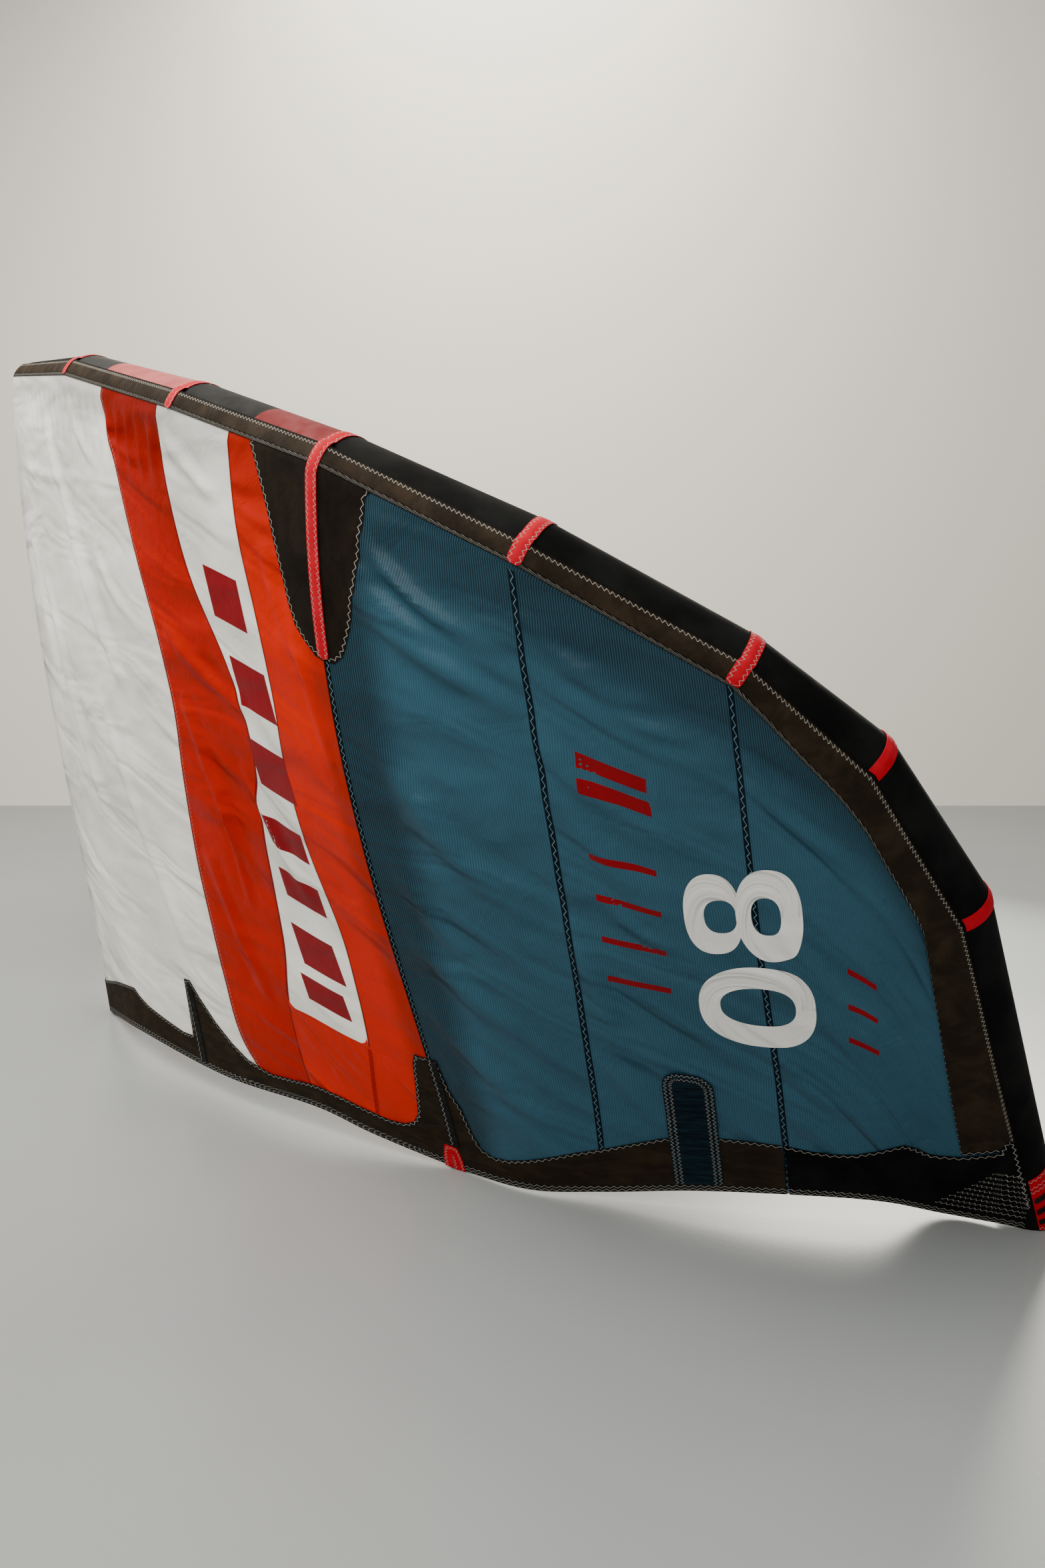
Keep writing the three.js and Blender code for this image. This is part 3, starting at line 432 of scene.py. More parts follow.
def off_line(points, line):
    """Each point's distance from a line of points, and how far along the line its nearest place lies."""
    best, along, passed = np.full(points.shape[:-1], np.inf), np.zeros(points.shape[:-1]), 0.0
    for start, end in zip(line[:-1], line[1:]):
        way = end - start
        length = np.linalg.norm(way)
        share = np.clip((points - start) @ way / max(length**2, 1e-9), 0, 1)
        gap = np.linalg.norm(points - start - share[..., None] * way, axis=-1)
        along = np.where(gap < best, passed + share * length, along)
        best = np.minimum(gap, best)
        passed += length
    return best, along


def folds(at, chord):
    """How far the cloth's folds and gathers lift it, in millimetres."""
    at, chord = np.broadcast_arrays(np.asarray(at, float), np.asarray(chord, float))
    spot = flat_place(at, chord)
    lift = np.zeros(at.shape)
    for row in range(len(FOLDS["at"])):
        start, end, from_chord, to_chord, width, rise = (
            FOLDS[name][row] for name in ("at", "to_at", "chord", "to_chord", "width", "rise")
        )
        way = np.linspace(0, 1, FOLD_STEPS)
        bowed = from_chord + (to_chord - from_chord) * way + 0.012 * np.sin(np.pi * way)
        line = flat_place(start + (end - start) * way, bowed)
        gap, along = off_line(spot, line)
        length = np.linalg.norm(np.diff(line, axis=0), axis=1).sum()
        taper = np.sin(np.pi * np.clip((along + 0.15 * length) / (1.3 * length), 0, 1))
        ridge = np.exp(-((gap / width) ** 2)) - 0.35 * np.exp(-(((gap - 1.6 * width) / width) ** 2))
        lift += rise * taper * ridge
    across, down = spot[..., 0], spot[..., 1]
    wave = np.sin(2 * np.pi * across / GATHERS["pitch"] + 1.7 * np.sin(across / 140))
    near = np.exp(-(((down - GATHERS["below"]) / GATHERS["reach"]) ** 2))
    lift += GATHERS["rise"] * wave * near * (np.abs(at) < GATHERS["last"])
    calm = np.minimum(np.abs(np.abs(at) - STRUT) / 0.1, np.abs(at) / 0.06)
    edge = np.clip((1 - chord) / 0.05, 0, 1) * np.clip(chord / 0.02, 0, 1)
    return lift * np.clip(calm, 0, 1) * edge * looks_now().fold_depth


def both_layers(at, chord, level):
    """The lower and the upper face of a sheet that lies on the cloth and follows its folds."""
    at, chord = np.broadcast_arrays(np.asarray(at, float), np.asarray(chord, float))
    point, normal = canopy_point(at, chord), canopy_normal(at, chord)
    lift = folds(at, chord)[..., None]
    return point + normal * (level[0] + lift), point + normal * (level[1] + lift)


def placed(points):
    """Points of the kite in the frame, in metres."""
    return (points - (0, FOOTPRINT_MIDDLE, 0)) * MM


def mirrored(points):
    return points * (-1, 1, 1)


def face_lists(rows, columns):
    """Faces of a closed sheet of two layers, the lower one's points first."""
    grid = np.arange(rows * columns).reshape(rows, columns)
    quads = np.stack([grid[:-1, :-1], grid[:-1, 1:], grid[1:, 1:], grid[1:, :-1]], axis=-1).reshape(-1, 4)
    rim = np.concatenate([grid[0], grid[1:, -1], grid[-1, -2::-1], grid[-2:0:-1, 0]])
    ahead = np.roll(rim, -1)
    count = rows * columns
    sides = np.stack([ahead, rim, rim + count, ahead + count], axis=-1)
    return np.concatenate([quads, quads[:, ::-1] + count, sides])


def signed_volume(points, faces):
    a, b, c, d = (points[faces[:, corner]] for corner in range(4))
    return (a * (np.cross(b, c) + np.cross(c, d))).sum()


def lengths(points, axis):
    """Running length along one way of a grid of points, from 0."""
    steps = np.linalg.norm(np.diff(points, axis=axis), axis=-1)
    start = np.zeros_like(np.take(steps, [0], axis=axis))
    return np.concatenate([start, np.cumsum(steps, axis=axis)], axis=axis)


def edge_maps(points, line=None):
    """UV maps in metres: "top" from the first row and column, "end" from the last ones, and "edge" from a
    line."""
    across, down = lengths(points, 1) * MM, lengths(points, 0) * MM
    maps = {
        "top": np.stack([across, down], axis=-1),
        "end": np.stack([across[:, -1:] - across, down[-1:] - down], axis=-1),
    }
    if line is not None:
        gap, along = off_line(points, line)
        maps["edge"] = np.stack([along, gap], axis=-1) * MM
    return maps


def mesh_object(name, points, faces, maps, material, crease=40):
    mesh = bpy.data.meshes.new(name)
    mesh.from_pydata(placed(points).tolist(), [], faces if isinstance(faces, list) else faces.tolist())
    corners = np.empty(len(mesh.loops), int)
    mesh.loops.foreach_get("vertex_index", corners)
    for label, values in maps.items():
        layer = mesh.uv_layers.new(name=label)
        layer.uv.foreach_set("vector", values.reshape(-1, 2)[corners % len(values.reshape(-1, 2))].ravel())
    mesh.shade_smooth()
    mesh.set_sharp_from_angle(angle=math.radians(crease))
    mesh.materials.append(material)
    piece = bpy.data.objects.new(name, mesh)
    bpy.context.scene.collection.objects.link(piece)
    return piece


def add_sheet(name, low, high, material, stands_for=(), line=None):
    """A closed sheet of cloth between two grids of points."""
    rows, columns = low.shape[:2]
    points = np.concatenate([low.reshape(-1, 3), high.reshape(-1, 3)])
    faces = face_lists(rows, columns)
    if signed_volume(points, faces) < 0:
        faces = faces[:, ::-1]
    middle = (low + high) / 2
    piece = mesh_object(name, points, faces, edge_maps(middle, line), material)
    width, length = lengths(middle, 1).max() * MM, lengths(middle, 0).max() * MM
    across, down = np.diff(middle, axis=1)[:-1], np.diff(middle, axis=0)[:, :-1]
    area = np.linalg.norm(np.cross(across, down), axis=-1).sum() * MM * MM
    length = min(length, area / (LEAST_FILL * width))
    area = min(area, width * length)
    return finish_piece(piece, stands_for)


def finish_piece(piece, stands_for=()):
    if stands_for:
        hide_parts(*stands_for)
    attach(piece, "root")
    return piece


def add_padded(name, rings, material, stands_for=(), crease=50):
    """A closed inflated body round a stack of rings of points."""
    count, sides = rings.shape[:2]
    grid = np.arange(count * sides).reshape(count, sides)
    ahead = np.roll(grid, -1, axis=1)
    quads = np.stack([grid[:-1], ahead[:-1], ahead[1:], grid[1:]], axis=-1).reshape(-1, 4)
    points = rings.reshape(-1, 3)
    faces = quads.tolist() + [grid[0, ::-1].tolist(), grid[-1].tolist()]
    if signed_volume(points - points.mean(0), quads) < 0:
        faces = [face[::-1] for face in faces]
    along = lengths(rings, 0) * MM
    round_it = np.broadcast_to(np.arange(sides) / sides, (count, sides))
    piece = mesh_object(name, points, faces, {"top": np.stack([round_it, along], axis=-1)}, material, crease)
    return finish_piece(piece, stands_for)


def looks_now():
    return bpy.context.scene.kite_looks


def linear(code):
    """A colour's sRGB hex code as linear red, green and blue."""
    parts = [int(code[place : place + 2], 16) / 255 for place in (1, 3, 5)]
    return tuple(part / 12.92 if part <= 0.04045 else ((part + 0.055) / 1.055) ** 2.4 for part in parts)


def dyes():
    """The kite's colours as the sidebar shows them."""
    return {
        "white": ("White cloth", "#f1f1ee"),
        "red": ("Red cloth", "#b81400"),
        "orange": ("Orange cloth", "#cf2000"),
        "blue": ("Blue cloth", "#2b5062"),
        "strip": ("Leading-edge strip", "#1c1610"),
        "patch": ("Strut patch", "#0f0c09"),
        "edge": ("Trailing-edge band", "#1c160f"),
        "tip": ("Wing-tip patch", "#030304"),
        "navy": ("Batten pocket and panel seams", "#06121a"),
        "tape": ("Crimson tape", "#a3061a"),
        "tube": ("Tube and struts", "#050606"),
        "thread": ("Thread", "#94918a"),
        "print": ("Crimson prints", "#820412"),
    }


def colour_property(label, code):
    return bpy.props.FloatVectorProperty(
        name=label, description=f"Colour of the {label.lower()}", subtype="COLOR", size=3, min=0, max=1,
        default=linear(code),
    )


class KiteLooks(bpy.types.PropertyGroup):
    """Sizes and colours that a user would change."""

    fold_depth: bpy.props.FloatProperty(
        name="Fold depth", description="How deep the cloth's folds are, as a share of the modelled ones",
        default=1.0, min=0.0, max=2.0, subtype="FACTOR",
    )
    zigzag_pitch: bpy.props.FloatProperty(
        name="Zigzag pitch", description="Length of one zigzag of thread", default=0.0095, unit="LENGTH",
    )
    zigzag_width: bpy.props.FloatProperty(
        name="Zigzag width", description="How far a zigzag swings", default=0.0055, unit="LENGTH",
    )
    thread_width: bpy.props.FloatProperty(
        name="Thread width", description="Width of the thread as it shows", default=0.0013, unit="LENGTH",
    )
    ripstop: bpy.props.FloatProperty(
        name="Ripstop spacing", description="Distance between the cloth's thicker threads",
        default=0.006, unit="LENGTH",
    )
    __annotations__.update({name: colour_property(*values) for name, values in dyes().items()})


def node(tree, kind, inputs=None, out=0, **settings):
    """Adds a node with its settings and what feeds its inputs, sockets or plain values. Gives an output."""
    made = tree.nodes.new("ShaderNode" + kind)
    for name, value in settings.items():
        setattr(made, name, value)
    for name, value in (inputs or {}).items():
        if isinstance(value, bpy.types.NodeSocket):
            tree.links.new(value, made.inputs[name])
        else:
            made.inputs[name].default_value = value
    return made.outputs[out] if made.outputs else None


# Settings of the node that mixes two colours, and the output that holds them.
COLOURS = {"data_type": "RGBA", "out": 2}


def colour(value, share=1.0, plus=0.0):
    """A colour for a socket, made darker or paler."""
    return (*(min(part * share + plus, 1) for part in value), 1.0)


def coordinate(tree, label, axis):
    """One axis of a UV map, in metres."""
    return node(tree, "SeparateXYZ", {0: node(tree, "UVMap", uv_map=label)}, out=axis)


def zigzag(tree, label, axis, middle, stretch=1.0, reach=0.0):
    """A row of zigzag thread along an edge: 1 on the thread. It may stop at a reach along that edge."""
    looks = looks_now()
    along, across = coordinate(tree, label, 1 - axis), coordinate(tree, label, axis)
    half = looks.zigzag_pitch / 2 * stretch
    wave = node(tree, "Math", {0: along, 1: half}, operation="PINGPONG")
    swing = {0: wave, 1: looks.zigzag_width / half, 2: middle - looks.zigzag_width / 2}
    line = node(tree, "Math", swing, operation="MULTIPLY_ADD")
    thread = node(tree, "Math", {0: across, 1: line, 2: looks.thread_width / 2}, operation="COMPARE")
    if reach:
        near = node(tree, "Math", {0: along, 1: reach}, operation="LESS_THAN")
        thread = node(tree, "Math", {0: thread, 1: near}, operation="MULTIPLY")
    return thread


def stitched(tree, tint, height, rows, tone, rise):
    """Adds rows of zigzag thread to a colour and to a height."""
    thread = 0.0
    for row in rows:
        thread = node(tree, "Math", {0: thread, 1: zigzag(tree, *row)}, operation="MAXIMUM")
    tint = node(tree, "Mix", {0: thread, 6: tint, 7: colour(tone)}, **COLOURS)
    return tint, node(tree, "Math", {0: thread, 1: rise, 2: height}, operation="MULTIPLY_ADD")


def edged(tree, tint, seams):
    """Draws bands of colour along edges: the map and axis, where each starts and ends, and its colour."""
    for label, axis, start, end, tone in seams:
        inside = {0: coordinate(tree, label, axis), 1: (start + end) / 2, 2: (end - start) / 2}
        inside = node(tree, "Math", inside, operation="COMPARE")
        tint = node(tree, "Mix", {0: inside, 6: tint, 7: colour(tone)}, **COLOURS)
    return tint


def blots(tree, vector, size, start, end, low=0.0, high=1.0, **noise):
    """Soft blots about a size in metres, which run from a low value to a high one."""
    inputs = {"Vector": vector, "Scale": 1 / size, "Detail": 3, "Roughness": 0.55, **noise}
    limits = {0: node(tree, "TexNoise", inputs), 1: start, 2: end, 3: low, 4: high}
    return node(tree, "MapRange", limits, interpolation_type="SMOOTHSTEP")


def crumpled(tree, height, rows):
    """Adds unevenness to a height: vector, size in metres, detail, roughness, distortion and depth."""
    for vector, size, detail, rough, distortion, depth in rows:
        inputs = {"Vector": vector, "Scale": 1 / size, "Detail": detail, "Roughness": rough}
        grain = node(tree, "TexNoise", {**inputs, "Distortion": distortion})
        height = node(tree, "Math", {0: grain, 1: depth, 2: height}, operation="MULTIPLY_ADD")
    return height


def surface(name):
    material = bpy.data.materials.new(name)
    material.use_nodes = True
    tree = material.node_tree
    tree.nodes.clear()
    return material, tree


def finish_surface(tree, base, height, roughness, through=0.0, specular=0.5, alpha=1.0):
    """Joins colour, relief and gloss in the shader. Thin cloth also lets some light through."""
    bump = node(tree, "Bump", {"Strength": 1.0, "Distance": 1.0, "Height": height})
    inputs = {"Base Color": base, "Roughness": roughness, "Normal": bump, "Alpha": alpha}
    shader = node(tree, "BsdfPrincipled", {**inputs, "Specular IOR Level": specular})
    if through:
        behind = node(tree, "BsdfTranslucent", {"Color": base, "Normal": bump})
        shader = node(tree, "MixShader", {0: through, 1: shader, 2: behind})
    node(tree, "OutputMaterial", {"Surface": shader})


def ripstop_cloth(name, base, painted_shades=(), seams=(), rows=(), ribs=0.0, through=0.3, crumple=1.0, dark=0.36):
    """Ripstop polyester, coated and calendered: thin and crisp, so it creases and shines a little, and light
    comes through it. The zones it is given are painted shade: the colour is darkened there, towards dark,
    where the tube or a strut behind takes that light away."""
    material, tree = surface(name)
    place = node(tree, "TexCoord", out="Object")
    uneven = blots(tree, place, 0.35, 0.3, 0.7, Detail=2)
    tint = node(tree, "Mix", {0: uneven, 6: colour(base), 7: colour(base, 0.84)}, **COLOURS)
    # Painted shade: each zone darkens the colour towards the tube or strut that stands behind the cloth.
    for label, axis, start, end, strength in painted_shades:
        fade = {0: coordinate(tree, label, axis), 1: start, 2: end, 3: strength, 4: 0.0}
        near = node(tree, "MapRange", fade, interpolation_type="SMOOTHSTEP")
        tint = node(tree, "Mix", {0: near, 6: tint, 7: colour(base, dark)}, **COLOURS)
    uv = [coordinate(tree, "top", axis) for axis in (0, 1)]
    # The thicker threads of the ripstop grid, each 0.4 mm wide and faint.
    for where in uv:
        wave = node(tree, "Math", {0: where, 1: looks_now().ripstop / 2}, operation="PINGPONG")
        line = node(tree, "Math", {0: wave, 1: 0.0002, 2: 0.0002}, operation="COMPARE")
        line = node(tree, "Math", {0: line, 1: 0.1}, operation="MULTIPLY")
        tint = node(tree, "Mix", {0: line, 6: tint, 7: colour(base, 0.6)}, **COLOURS)
    height = 0.0
    if ribs:
        wave = node(tree, "Math", {0: uv[0], 1: ribs / 2}, operation="PINGPONG")
        rib = node(tree, "MapRange", {0: wave, 1: 0.0, 2: ribs / 2}, interpolation_type="SMOOTHSTEP")
        pale = node(tree, "Mix", {0: 0.26, 6: tint, 7: colour(base, 2.4, 0.02)}, **COLOURS)
        tint = node(tree, "Mix", {0: rib, 6: tint, 7: pale}, **COLOURS)
        height = node(tree, "Math", {0: rib, 1: 0.00012, 2: height}, operation="MULTIPLY_ADD")
    # Long creases run askew down the cloth, over crumples and a fine grain.
    flat = node(tree, "UVMap", uv_map="top")
    askew = node(tree, "Mapping", {0: flat, 2: (0.0, 0.0, -1.05), 3: (2.4, 7.5, 1.0)})
    height = crumpled(tree, height, (
        (askew, 1.0, 2, 0.5, 0.9, 0.026 * crumple),
        (place, 0.07, 4, 0.6, 0.6, 0.0042 * crumple),
        (place, 0.014, 2, 0.55, 0, 0.0004 * crumple),
    ))
    tint = edged(tree, tint, seams)
    tint, height = stitched(tree, tint, height, rows, looks_now().thread, 0.0004)
    gloss = blots(tree, place, 0.08, 0.2, 0.8, 0.36, 0.5)
    finish_surface(tree, tint, height, gloss, through=through, specular=0.12)
    return material


def coated_cloth(name, base, worn=None, wear=0.5, streak=(1.0, 1.0, 1.0), seams=(), rows=(),
                 gloss=(0.78, 0.95), weave=0.0016, relief=1.0, thread_tone=None):
    """Coated polyester sailcloth: heavier, dull and evenly woven, with paler stains where it is worn.
    The weave is drawn at about four times its real spacing, so that it shows."""
    material, tree = surface(name)
    place = node(tree, "TexCoord", out="Object")
    along = node(tree, "Mapping", {0: place, 3: streak})
    stain = blots(tree, along, 0.06, 0.38, 0.68, Detail=6, Roughness=0.62, Distortion=0.5)
    stain = node(tree, "Math", {0: stain, 1: wear}, operation="MULTIPLY")
    pale = colour(worn) if worn else colour(base, 1.8, 0.01)
    tint = node(tree, "Mix", {0: stain, 6: colour(base), 7: pale}, **COLOURS)
    height = 0.0
    for axis in (0, 1):
        wave = {0: coordinate(tree, "top", axis), 1: weave / 2}
        wave = node(tree, "Math", wave, operation="PINGPONG")
        height = node(tree, "Math", {0: wave, 1: 0.05 * relief, 2: height}, operation="MULTIPLY_ADD")
    height = crumpled(tree, height, (
        (along, 0.09, 4, 0.55, 0.6, 0.0035 * relief),
        (place, 0.014, 3, 0.55, 0, 0.0006 * relief),
    ))
    tint = edged(tree, tint, seams)
    tint, height = stitched(tree, tint, height, rows, thread_tone or looks_now().thread, 0.0005)
    shine = blots(tree, place, 0.05, 0.25, 0.75, *gloss)
    finish_surface(tree, tint, height, shine, specular=0.06)
    return material


def tube_cloth(name, base, printed=None, start=0.0, end=0.0, gloss=0.72):
    """Woven polyester sailcloth of the tubes: satin black, stretched tight by the air, with a print over
    part of a length on some of them."""
    material, tree = surface(name)
    place = node(tree, "TexCoord", out="Object")
    tone = blots(tree, place, 0.12, 0.35, 0.75, Detail=5)
    tint = node(tree, "Mix", {0: tone, 6: colour(base), 7: colour(base, 1.7, 0.004)}, **COLOURS)
    if printed is not None:
        faded = blots(tree, place, 0.05, 0.3, 0.8, Detail=4)
        ink = node(tree, "Mix", {0: faded, 6: colour(printed), 7: colour(printed, 1.25, 0.03)}, **COLOURS)
        inside = {0: coordinate(tree, "top", 1), 1: (start + end) / 2, 2: (end - start) / 2}
        inside = node(tree, "Math", inside, operation="COMPARE")
        tint = node(tree, "Mix", {0: inside, 6: tint, 7: ink}, **COLOURS)
    height = crumpled(tree, 0.0, (
        (place, 0.0022, 1, 0.55, 0, 0.00018),
        (place, 0.05, 3, 0.55, 0, 0.0009),
    ))
    shine = blots(tree, place, 0.04, 0.2, 0.8, gloss, gloss + 0.14)
    finish_surface(tree, tint, height, shine, specular=0.05 if printed is None else 0.14)
    return material


def panel_chords():
    """Rows of a canopy panel: a few on the tube, and the rest down the free cloth."""
    free = math.ceil(float(chord_length(0)) / CLOTH_STEP)
    return np.concatenate([np.linspace(-1, 0, 7)[:-1], np.linspace(0, 1, free)])


def panel_stations(left, right):
    """Stations of a panel between two seams, which are given row by row."""
    ends = np.array([left.min(), right.max()])
    across = flat_place(ends, 0.5)[..., 0] * np.sign(ends)
    count = math.ceil(float(across[1] - across[0]) / CLOTH_STEP)
    return left[:, None] + (right - left)[:, None] * np.linspace(0, 1, count + 1)


def panel_layers(left, right, chords):
    left, right = shifted(left, chords, SEAM_GAP), shifted(right, chords, -SEAM_GAP)
    at = panel_stations(left, right)
    return both_layers(at, chords[:, None] + 0 * at, CLOTH)


def add_pair(name, low, high, material, stands_for=(), line=None):
    """The same sheet on the right half and, mirrored, on the left half."""
    for side in ("right", "left"):
        add_sheet(
            f"{name}_{side}", low, high, material, [f"{each}_{side}" for each in stands_for],
            line,
        )
        low, high = mirrored(low), mirrored(high)
        line = None if line is None else mirrored(line)


class KITE_OT_canopy(bpy.types.Operator):
    """Sews the canopy's panels on their common surface, with its folds."""

    bl_idname = "kite.canopy"
    bl_label = "Canopy panels"

    def execute(self, context):
        looks = context.scene.kite_looks
        chords = panel_chords()
        line = [part * 0.35 for part in looks.red]
        dark = linear("#0d1a22")
        # Painted shade, darker towards the leading-edge tube, and on the orange and inner blue panels darker
        # beside the outer strut; the tube and the strut stand behind the cloth.
        painted_tube_shade = ("top", 1, 0.09, 0.22, 0.9)
        white = ripstop_cloth(
            "ripstop_white", looks.white, painted_shades=[("top", 1, 0.05, 0.13, 0.3)],
            seams=[("top", 0, 0, 0.0016, line), ("end", 0, 0, 0.0016, line)],
            through=0.4, crumple=0.8, dark=0.6,
        )
        red = ripstop_cloth(
            "ripstop_red", looks.red, painted_shades=[("top", 1, 0.06, 0.34, 0.75)],
            seams=[("top", 0, 0, 0.0025, line), ("end", 0, 0, 0.002, line)],
            rows=[("top", 0, 0.006)], crumple=0.9,
        )
        band_cloth = ripstop_cloth(
            "ripstop_white_band", looks.white, painted_shades=[("top", 1, 0.05, 0.12, 0.25)],
            seams=[("top", 0, 0, 0.004, looks.print), ("end", 0, 0, 0.0016, line)],
            through=0.4, crumple=0.8, dark=0.6,
        )
        orange = ripstop_cloth(
            "ripstop_orange", looks.orange,
            painted_shades=[("top", 1, 0.06, 0.3, 0.7), ("end", 0, 0.02, 0.075, 0.55)],
            seams=[("top", 0, 0, 0.002, line)], crumple=0.9, dark=0.5,
        )
        blue = {"painted_shades": [painted_tube_shade], "ribs": 0.0045, "through": 0.22, "dark": 0.16}
        blue_inner = ripstop_cloth(
            "ripstop_blue_inner", looks.blue, **{**blue, "painted_shades": [painted_tube_shade, ("top", 0, 0.07, 0.15, 0.97)]}
        )
        blue_outer = ripstop_cloth("ripstop_blue", looks.blue, **blue)
        centre = seam_at("white", chords)
        low, high = panel_layers(-centre, centre, chords)
        add_sheet(
            "white_centre_panel", low, high, white, ["canopy_white_centre"],
        )
        with_end = np.sort(np.append(chords[chords < BAND_END], BAND_END - 0.001))
        orange_rows = np.sort(np.append(chords, [BAND_END - 0.0001, BAND_END + 0.0001]))
        orange_left = np.where(
            orange_rows > BAND_END, seam_at("red", orange_rows), seam_at("band", orange_rows)
        )
        red_seam, rib, tip = (seam_at(seam, chords) for seam in ("red", "rib", "tip"))
        band_left, band_right = seam_at("red", with_end), seam_at("band", with_end)
        strut, last = np.full(len(chords), float(STRUT)), np.full(len(chords), TIP_EDGE)
        strut_rows = np.full(len(orange_rows), float(STRUT))
        panels = (
            ("red_panel", "canopy_red", centre, red_seam, chords, red, "red_cloth"),
            ("white_band", "canopy_white_band", band_left, band_right, with_end, band_cloth, "white_cloth"),
            ("orange_panel", "canopy_orange", orange_left, strut_rows, orange_rows, orange, "orange_cloth"),
            ("blue_inner_panel", "canopy_blue_inner", strut, rib, chords, blue_inner, "blue_cloth"),
            ("blue_middle_panel", "canopy_blue_middle", rib, tip, chords, blue_outer, "blue_cloth"),
            ("blue_tip_panel", "canopy_blue_tip", tip, last, chords, blue_outer, "blue_cloth"),
        )
        for name, node_name, left, right, rows, material, slot in panels:
            low, high = panel_layers(left, right, rows)
            add_pair(name, low, high, material, [node_name])
        return {"FINISHED"}


class KITE_OT_panel_seams(bpy.types.Operator):
    """Lays the narrow tapes over the panel seams, each with one zigzag of thread."""

    bl_idname = "kite.panel_seams"
    bl_label = "Panel seam tapes"

    def execute(self, context):
        looks = context.scene.kite_looks
        pale = linear("#5d7f90")
        navy = coated_cloth(
            "seam_tape_navy", looks.navy, wear=0.2, rows=[("top", 0, 0.006, 1.8)], thread_tone=pale
        )
        black = coated_cloth(
            "seam_tape_black", linear("#080b0d"), wear=0.2, rows=[("end", 0, 0.004, 1.5)], thread_tone=pale
        )
        crimson = coated_cloth(
            "seam_tape_crimson", linear("#9a1505"), wear=0.1, rows=[("top", 0, 0.005, 1.5)],
            thread_tone=linear("#5a0a08"),
        )
        runs = (
            ("rib", lambda chord: seam_at("rib", chord), -6, 6, 0.0, 0.99, navy, "blue_cloth"),
            ("tip", lambda chord: seam_at("tip", chord), -6, 6, 0.0, 0.99, navy, "blue_cloth"),
            ("strut", lambda chord: STRUT + 0 * chord, -1.5, 9.5, 0.02, 0.95, black, "strut_patch"),
            (
                "band_foot", lambda chord: seam_at("band", chord), -5.2, 5.2, BAND_END + 0.004, 0.99,
                crimson, "tape",
            ),
        )
        for name, seam, left, right, start, end, material, slot in runs:
            chords = np.linspace(start, end, math.ceil((end - start) * float(chord_length(3)) / 9))
            offsets = np.linspace(left, right, 4)
            at = np.stack([shifted(seam(chords), chords, offset) for offset in offsets], axis=1)
            low, high = both_layers(at, chords[:, None] + 0 * at, SEAM_TAPE)
            add_pair(f"{name}_seam_tape", low, high, material)
        return {"FINISHED"}


class KITE_OT_edge_strip(bpy.types.Operator):
    """Sews the worn strip along the canopy's seam with the tube, with a zigzag along both edges."""

    bl_idname = "kite.edge_strip"
    bl_label = "Leading-edge strip"

    def execute(self, context):
        looks = context.scene.kite_looks
        cloth = coated_cloth(
            "coated_strip", looks.strip, worn=linear("#352b20"), wear=0.55, gloss=(0.68, 0.85), relief=1.2,
            seams=[("top", 1, 0, 0.0035, linear("#0d0a08")), ("end", 1, 0, 0.008, linear("#0d0a08"))],
            rows=[("top", 1, 0.0065), ("end", 1, 0.0035, 1.6)],
        )
        shares = np.linspace(0, 1, 25)[:, None]
        end = STRIP_END[0] + (STRIP_END[1] - STRIP_END[0]) * shares
        at = end * np.linspace(-1, 1, 1201)
        width = straight(EDGE_STRIP, "width", np.abs(at))
        chord = below_seam(np.abs(at), -STRIP_OVERLAP + shares * (width + STRIP_OVERLAP))
        low, high = both_layers(at, chord, SEWN)
        add_sheet(
            "edge_strip", low, high, cloth, ["leading_edge_strip"],
        )
        return {"FINISHED"}


class KITE_OT_strut_patches(bpy.types.Operator):
    """Sews the dark patch over each outer strut's root."""

    bl_idname = "kite.strut_patches"
    bl_label = "Strut patches"

    def execute(self, context):
        looks = context.scene.kite_looks
        cloth = coated_cloth(
            "coated_strut_patch", looks.patch, worn=linear("#231c14"), wear=0.5, streak=(1, 1, 0.5),
            relief=1.6, rows=[("edge", 1, 0.0045, 1.5)],
        )
        chord = np.linspace(UNDER_STRIP, STRUT_PATCH["chord"][-1], 56)[:, None]
        inner, outer = (straight(STRUT_PATCH, name, chord, along="chord") for name in ("inner", "outer"))
        at = inner + (outer - inner) * np.linspace(0, 1, 34)
        low, high = both_layers(at, chord + 0 * at, PATCH)
        middle = (low + high) / 2
        line = np.concatenate([middle[:, 0], middle[-1], middle[::-1, -1]])
        add_pair(
            "strut_patch", low, high, cloth, ["strut_root_patch"],
            line=line,
        )
        return {"FINISHED"}


def tape_grids(at, tab, end):
    """A tape's two layers: a rounded tab on the strip, then round the tube."""
    half = TAPE_WIDTH / 2
    shares = np.linspace(-1, 1, 7)
    seam = float(straight(STATIONS, "wrap", at))
    low, high = [], []
    if tab > 0:
        rounded = tab - np.array([0, 0.6, 2, 4.5, 8])
        for distance in np.concatenate([rounded, np.linspace(tab - 12, 0, math.ceil((tab - 12) / 7))]):
            over = np.clip((distance - tab + 8) / 8, 0, 1)
            width = half * (0.35 + 0.65 * math.sqrt(1 - over * over))
            chord = float(below_seam(at, distance))
            stations = np.array([shifted(float(at), chord, share * width) for share in shares])
            layers = both_layers(stations, chord, TOP)
            low.append(layers[0])
            high.append(layers[1])
    angles = np.concatenate([seam + np.array([5, 8.5, 11]), np.arange(seam + 14, end, 4)])
    heights = np.where(tab > 0, np.interp(angles - seam, [5, 8.5, 11, 14], [4.6, 4.2, 2.4, 0.5]), 0.5)
    for angle, level in zip(angles, heights):
        for grid, lift in ((low, level), (high, level + 1)):
            grid.append(on_tube(at, angle, shares * half, lift))
    return np.array(low), np.array(high)


